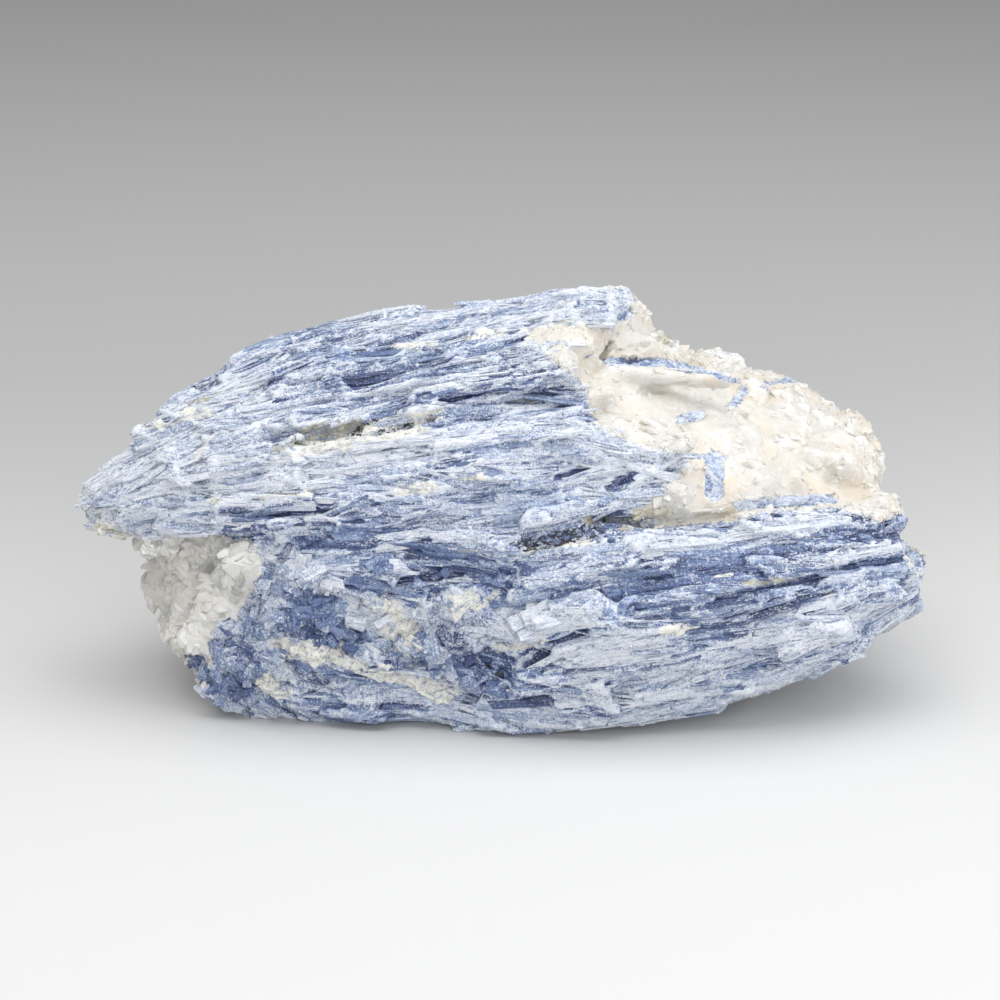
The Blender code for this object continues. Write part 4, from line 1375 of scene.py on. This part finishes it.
def quartz():
    s = Shader("quartz")
    place = s.add("TexCoord").outputs["Object"]
    look, dark = s.attribute("look"), s.attribute("dark")
    ridge = s.attribute("ridge").outputs["Fac"]
    number = s.add("SeparateXYZ", Vector=s.attribute("blade").outputs["Vector"]).outputs[2]
    cloud = s.noise(place, (70, 70, 70), 3.0)
    smoke = s.noise(place, (220, 220, 220), 3.0, 0.6)
    fine = s.noise(place, (1200, 1200, 1200), 3.0, 0.7)
    # The ridge term is painted shade: hollows turn towards the grey smoke colour.
    whiteness = s.total(number, s.swing(smoke, 1.1), s.swing(ridge, 0.35), s.swing(fine, 0.5))
    right = s.smooth(s.add("SeparateXYZ", Vector=place).outputs[0], 0.0, 0.03)
    milky = s.mix(s.math("MULTIPLY", s.smooth(cloud, 0.42, 0.62), right), MILK, HONEY)
    color = s.mix(s.smooth(whiteness, -0.1, 0.45), SMOKE, milky)
    color = s.mix(s.smooth(whiteness, 0.55, 1.05), color, SNOW)
    color = stained_and_shaded(s, color, look, dark, fine)
    height = s.math("ADD", fine, s.noise(place, (420, 420, 420), 2.0))
    bump = s.add("Bump", Height=height, Strength=0.5, Distance=0.0004)
    return s.finish(
        Base_Color=color, Roughness=0.45, IOR=1.54, Normal=bump.outputs[0], Subsurface_Weight=0.15,
        Subsurface_Radius=(1.0, 0.95, 0.9), Subsurface_Scale=0.0015,
    )


# ----------------------------------------
# The stone

is_quartz = quartz_inside[quads[:, 0]] > 0.5
is_back = skin[quads[:, 0], 1] > 0
is_left = skin[quads[:, 0], 0] < 0
kyanite_pieces = [
    cut_out("kyanite_body_left", ~is_quartz & ~is_back & is_left, patches),
    cut_out("kyanite_body_right", ~is_quartz & ~is_back & ~is_left, patches),
    cut_out("kyanite_body_back", ~is_quartz & is_back, patches),
    lay_lamellae(), *lay_splinters(), lay_blocks(), scatter_crumbs(),
]
quartz_pieces = [cut_out("quartz_body", is_quartz, stains_and_shade, smooth=False), lay_chips()]

for pieces, material, slot in ((kyanite_pieces, kyanite(), "kyanite"), (quartz_pieces, quartz(), "quartz")):
    for piece in pieces:
        piece.data.materials.append(material)
        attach(piece, "root")
        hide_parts(NODE)

# ----------------------------------------
# Floor, light and camera

LIGHTS = {  # place and aim in metres, size, watts
    "softbox_top": ((0, -0.03, 1.2), (0, -0.09, 0), (1.5, 1.1), 9.6),
    "softbox_floor": ((0, -0.22, 0.43), (0, -0.6, 0), (1.2, 0.7), 2.4),
    "softbox_front": ((0, -1.3, 0.55), (0, 0, 0.04), (1.2, 0.8), 8.0),
    "fill_right": ((0.9, -0.8, 0.3), (0.1, 0, 0), (0.6, 0.5), 1.2),
    "fill_low": ((0.55, -0.02, 0.16), (0.12, 0, 0), (0.3, 0.2), 0.8),
}
FLOOR_SIZE = 12


def area_light(name, place, aim, size, power):
    data = bpy.data.lights.new(name, "AREA")
    data.shape = "RECTANGLE"
    data.size, data.size_y = size
    data.energy = power
    light = bpy.data.objects.new(name, data)
    light.location = place
    light.rotation_euler = (Vector(aim) - Vector(place)).to_track_quat("-Z", "Y").to_euler()
    bpy.context.collection.objects.link(light)


def set_stage():
    bpy.ops.mesh.primitive_plane_add(size=FLOOR_SIZE)
    floor = bpy.context.object
    floor.name = "floor"
    s = Shader("paper")
    floor.data.materials.append(s.finish(Base_Color=(0.62, 0.62, 0.62, 1), Roughness=0.8))
    for name, settings in LIGHTS.items():
        area_light(name, *settings)
    world = bpy.data.worlds.new("studio")
    world.use_nodes = True
    background = world.node_tree.nodes["Background"]
    background.inputs["Color"].default_value = (0.98, 0.99, 1.0, 1)
    background.inputs["Strength"].default_value = 0.28
    bpy.context.scene.world = world


def set_camera():
    data = bpy.data.cameras.new("camera")
    data.lens = CAMERA_LENS
    data.sensor_width = CAMERA_SENSOR
    camera = bpy.data.objects.new("camera", data)
    camera.location = Vector(EYE) * MM
    camera.rotation_euler = (math.pi / 2 - CAMERA_RISE, 0, 0)
    bpy.context.collection.objects.link(camera)
    bpy.context.scene.camera = camera


set_stage()
set_camera()
bpy.context.scene.view_settings.view_transform = "Standard"
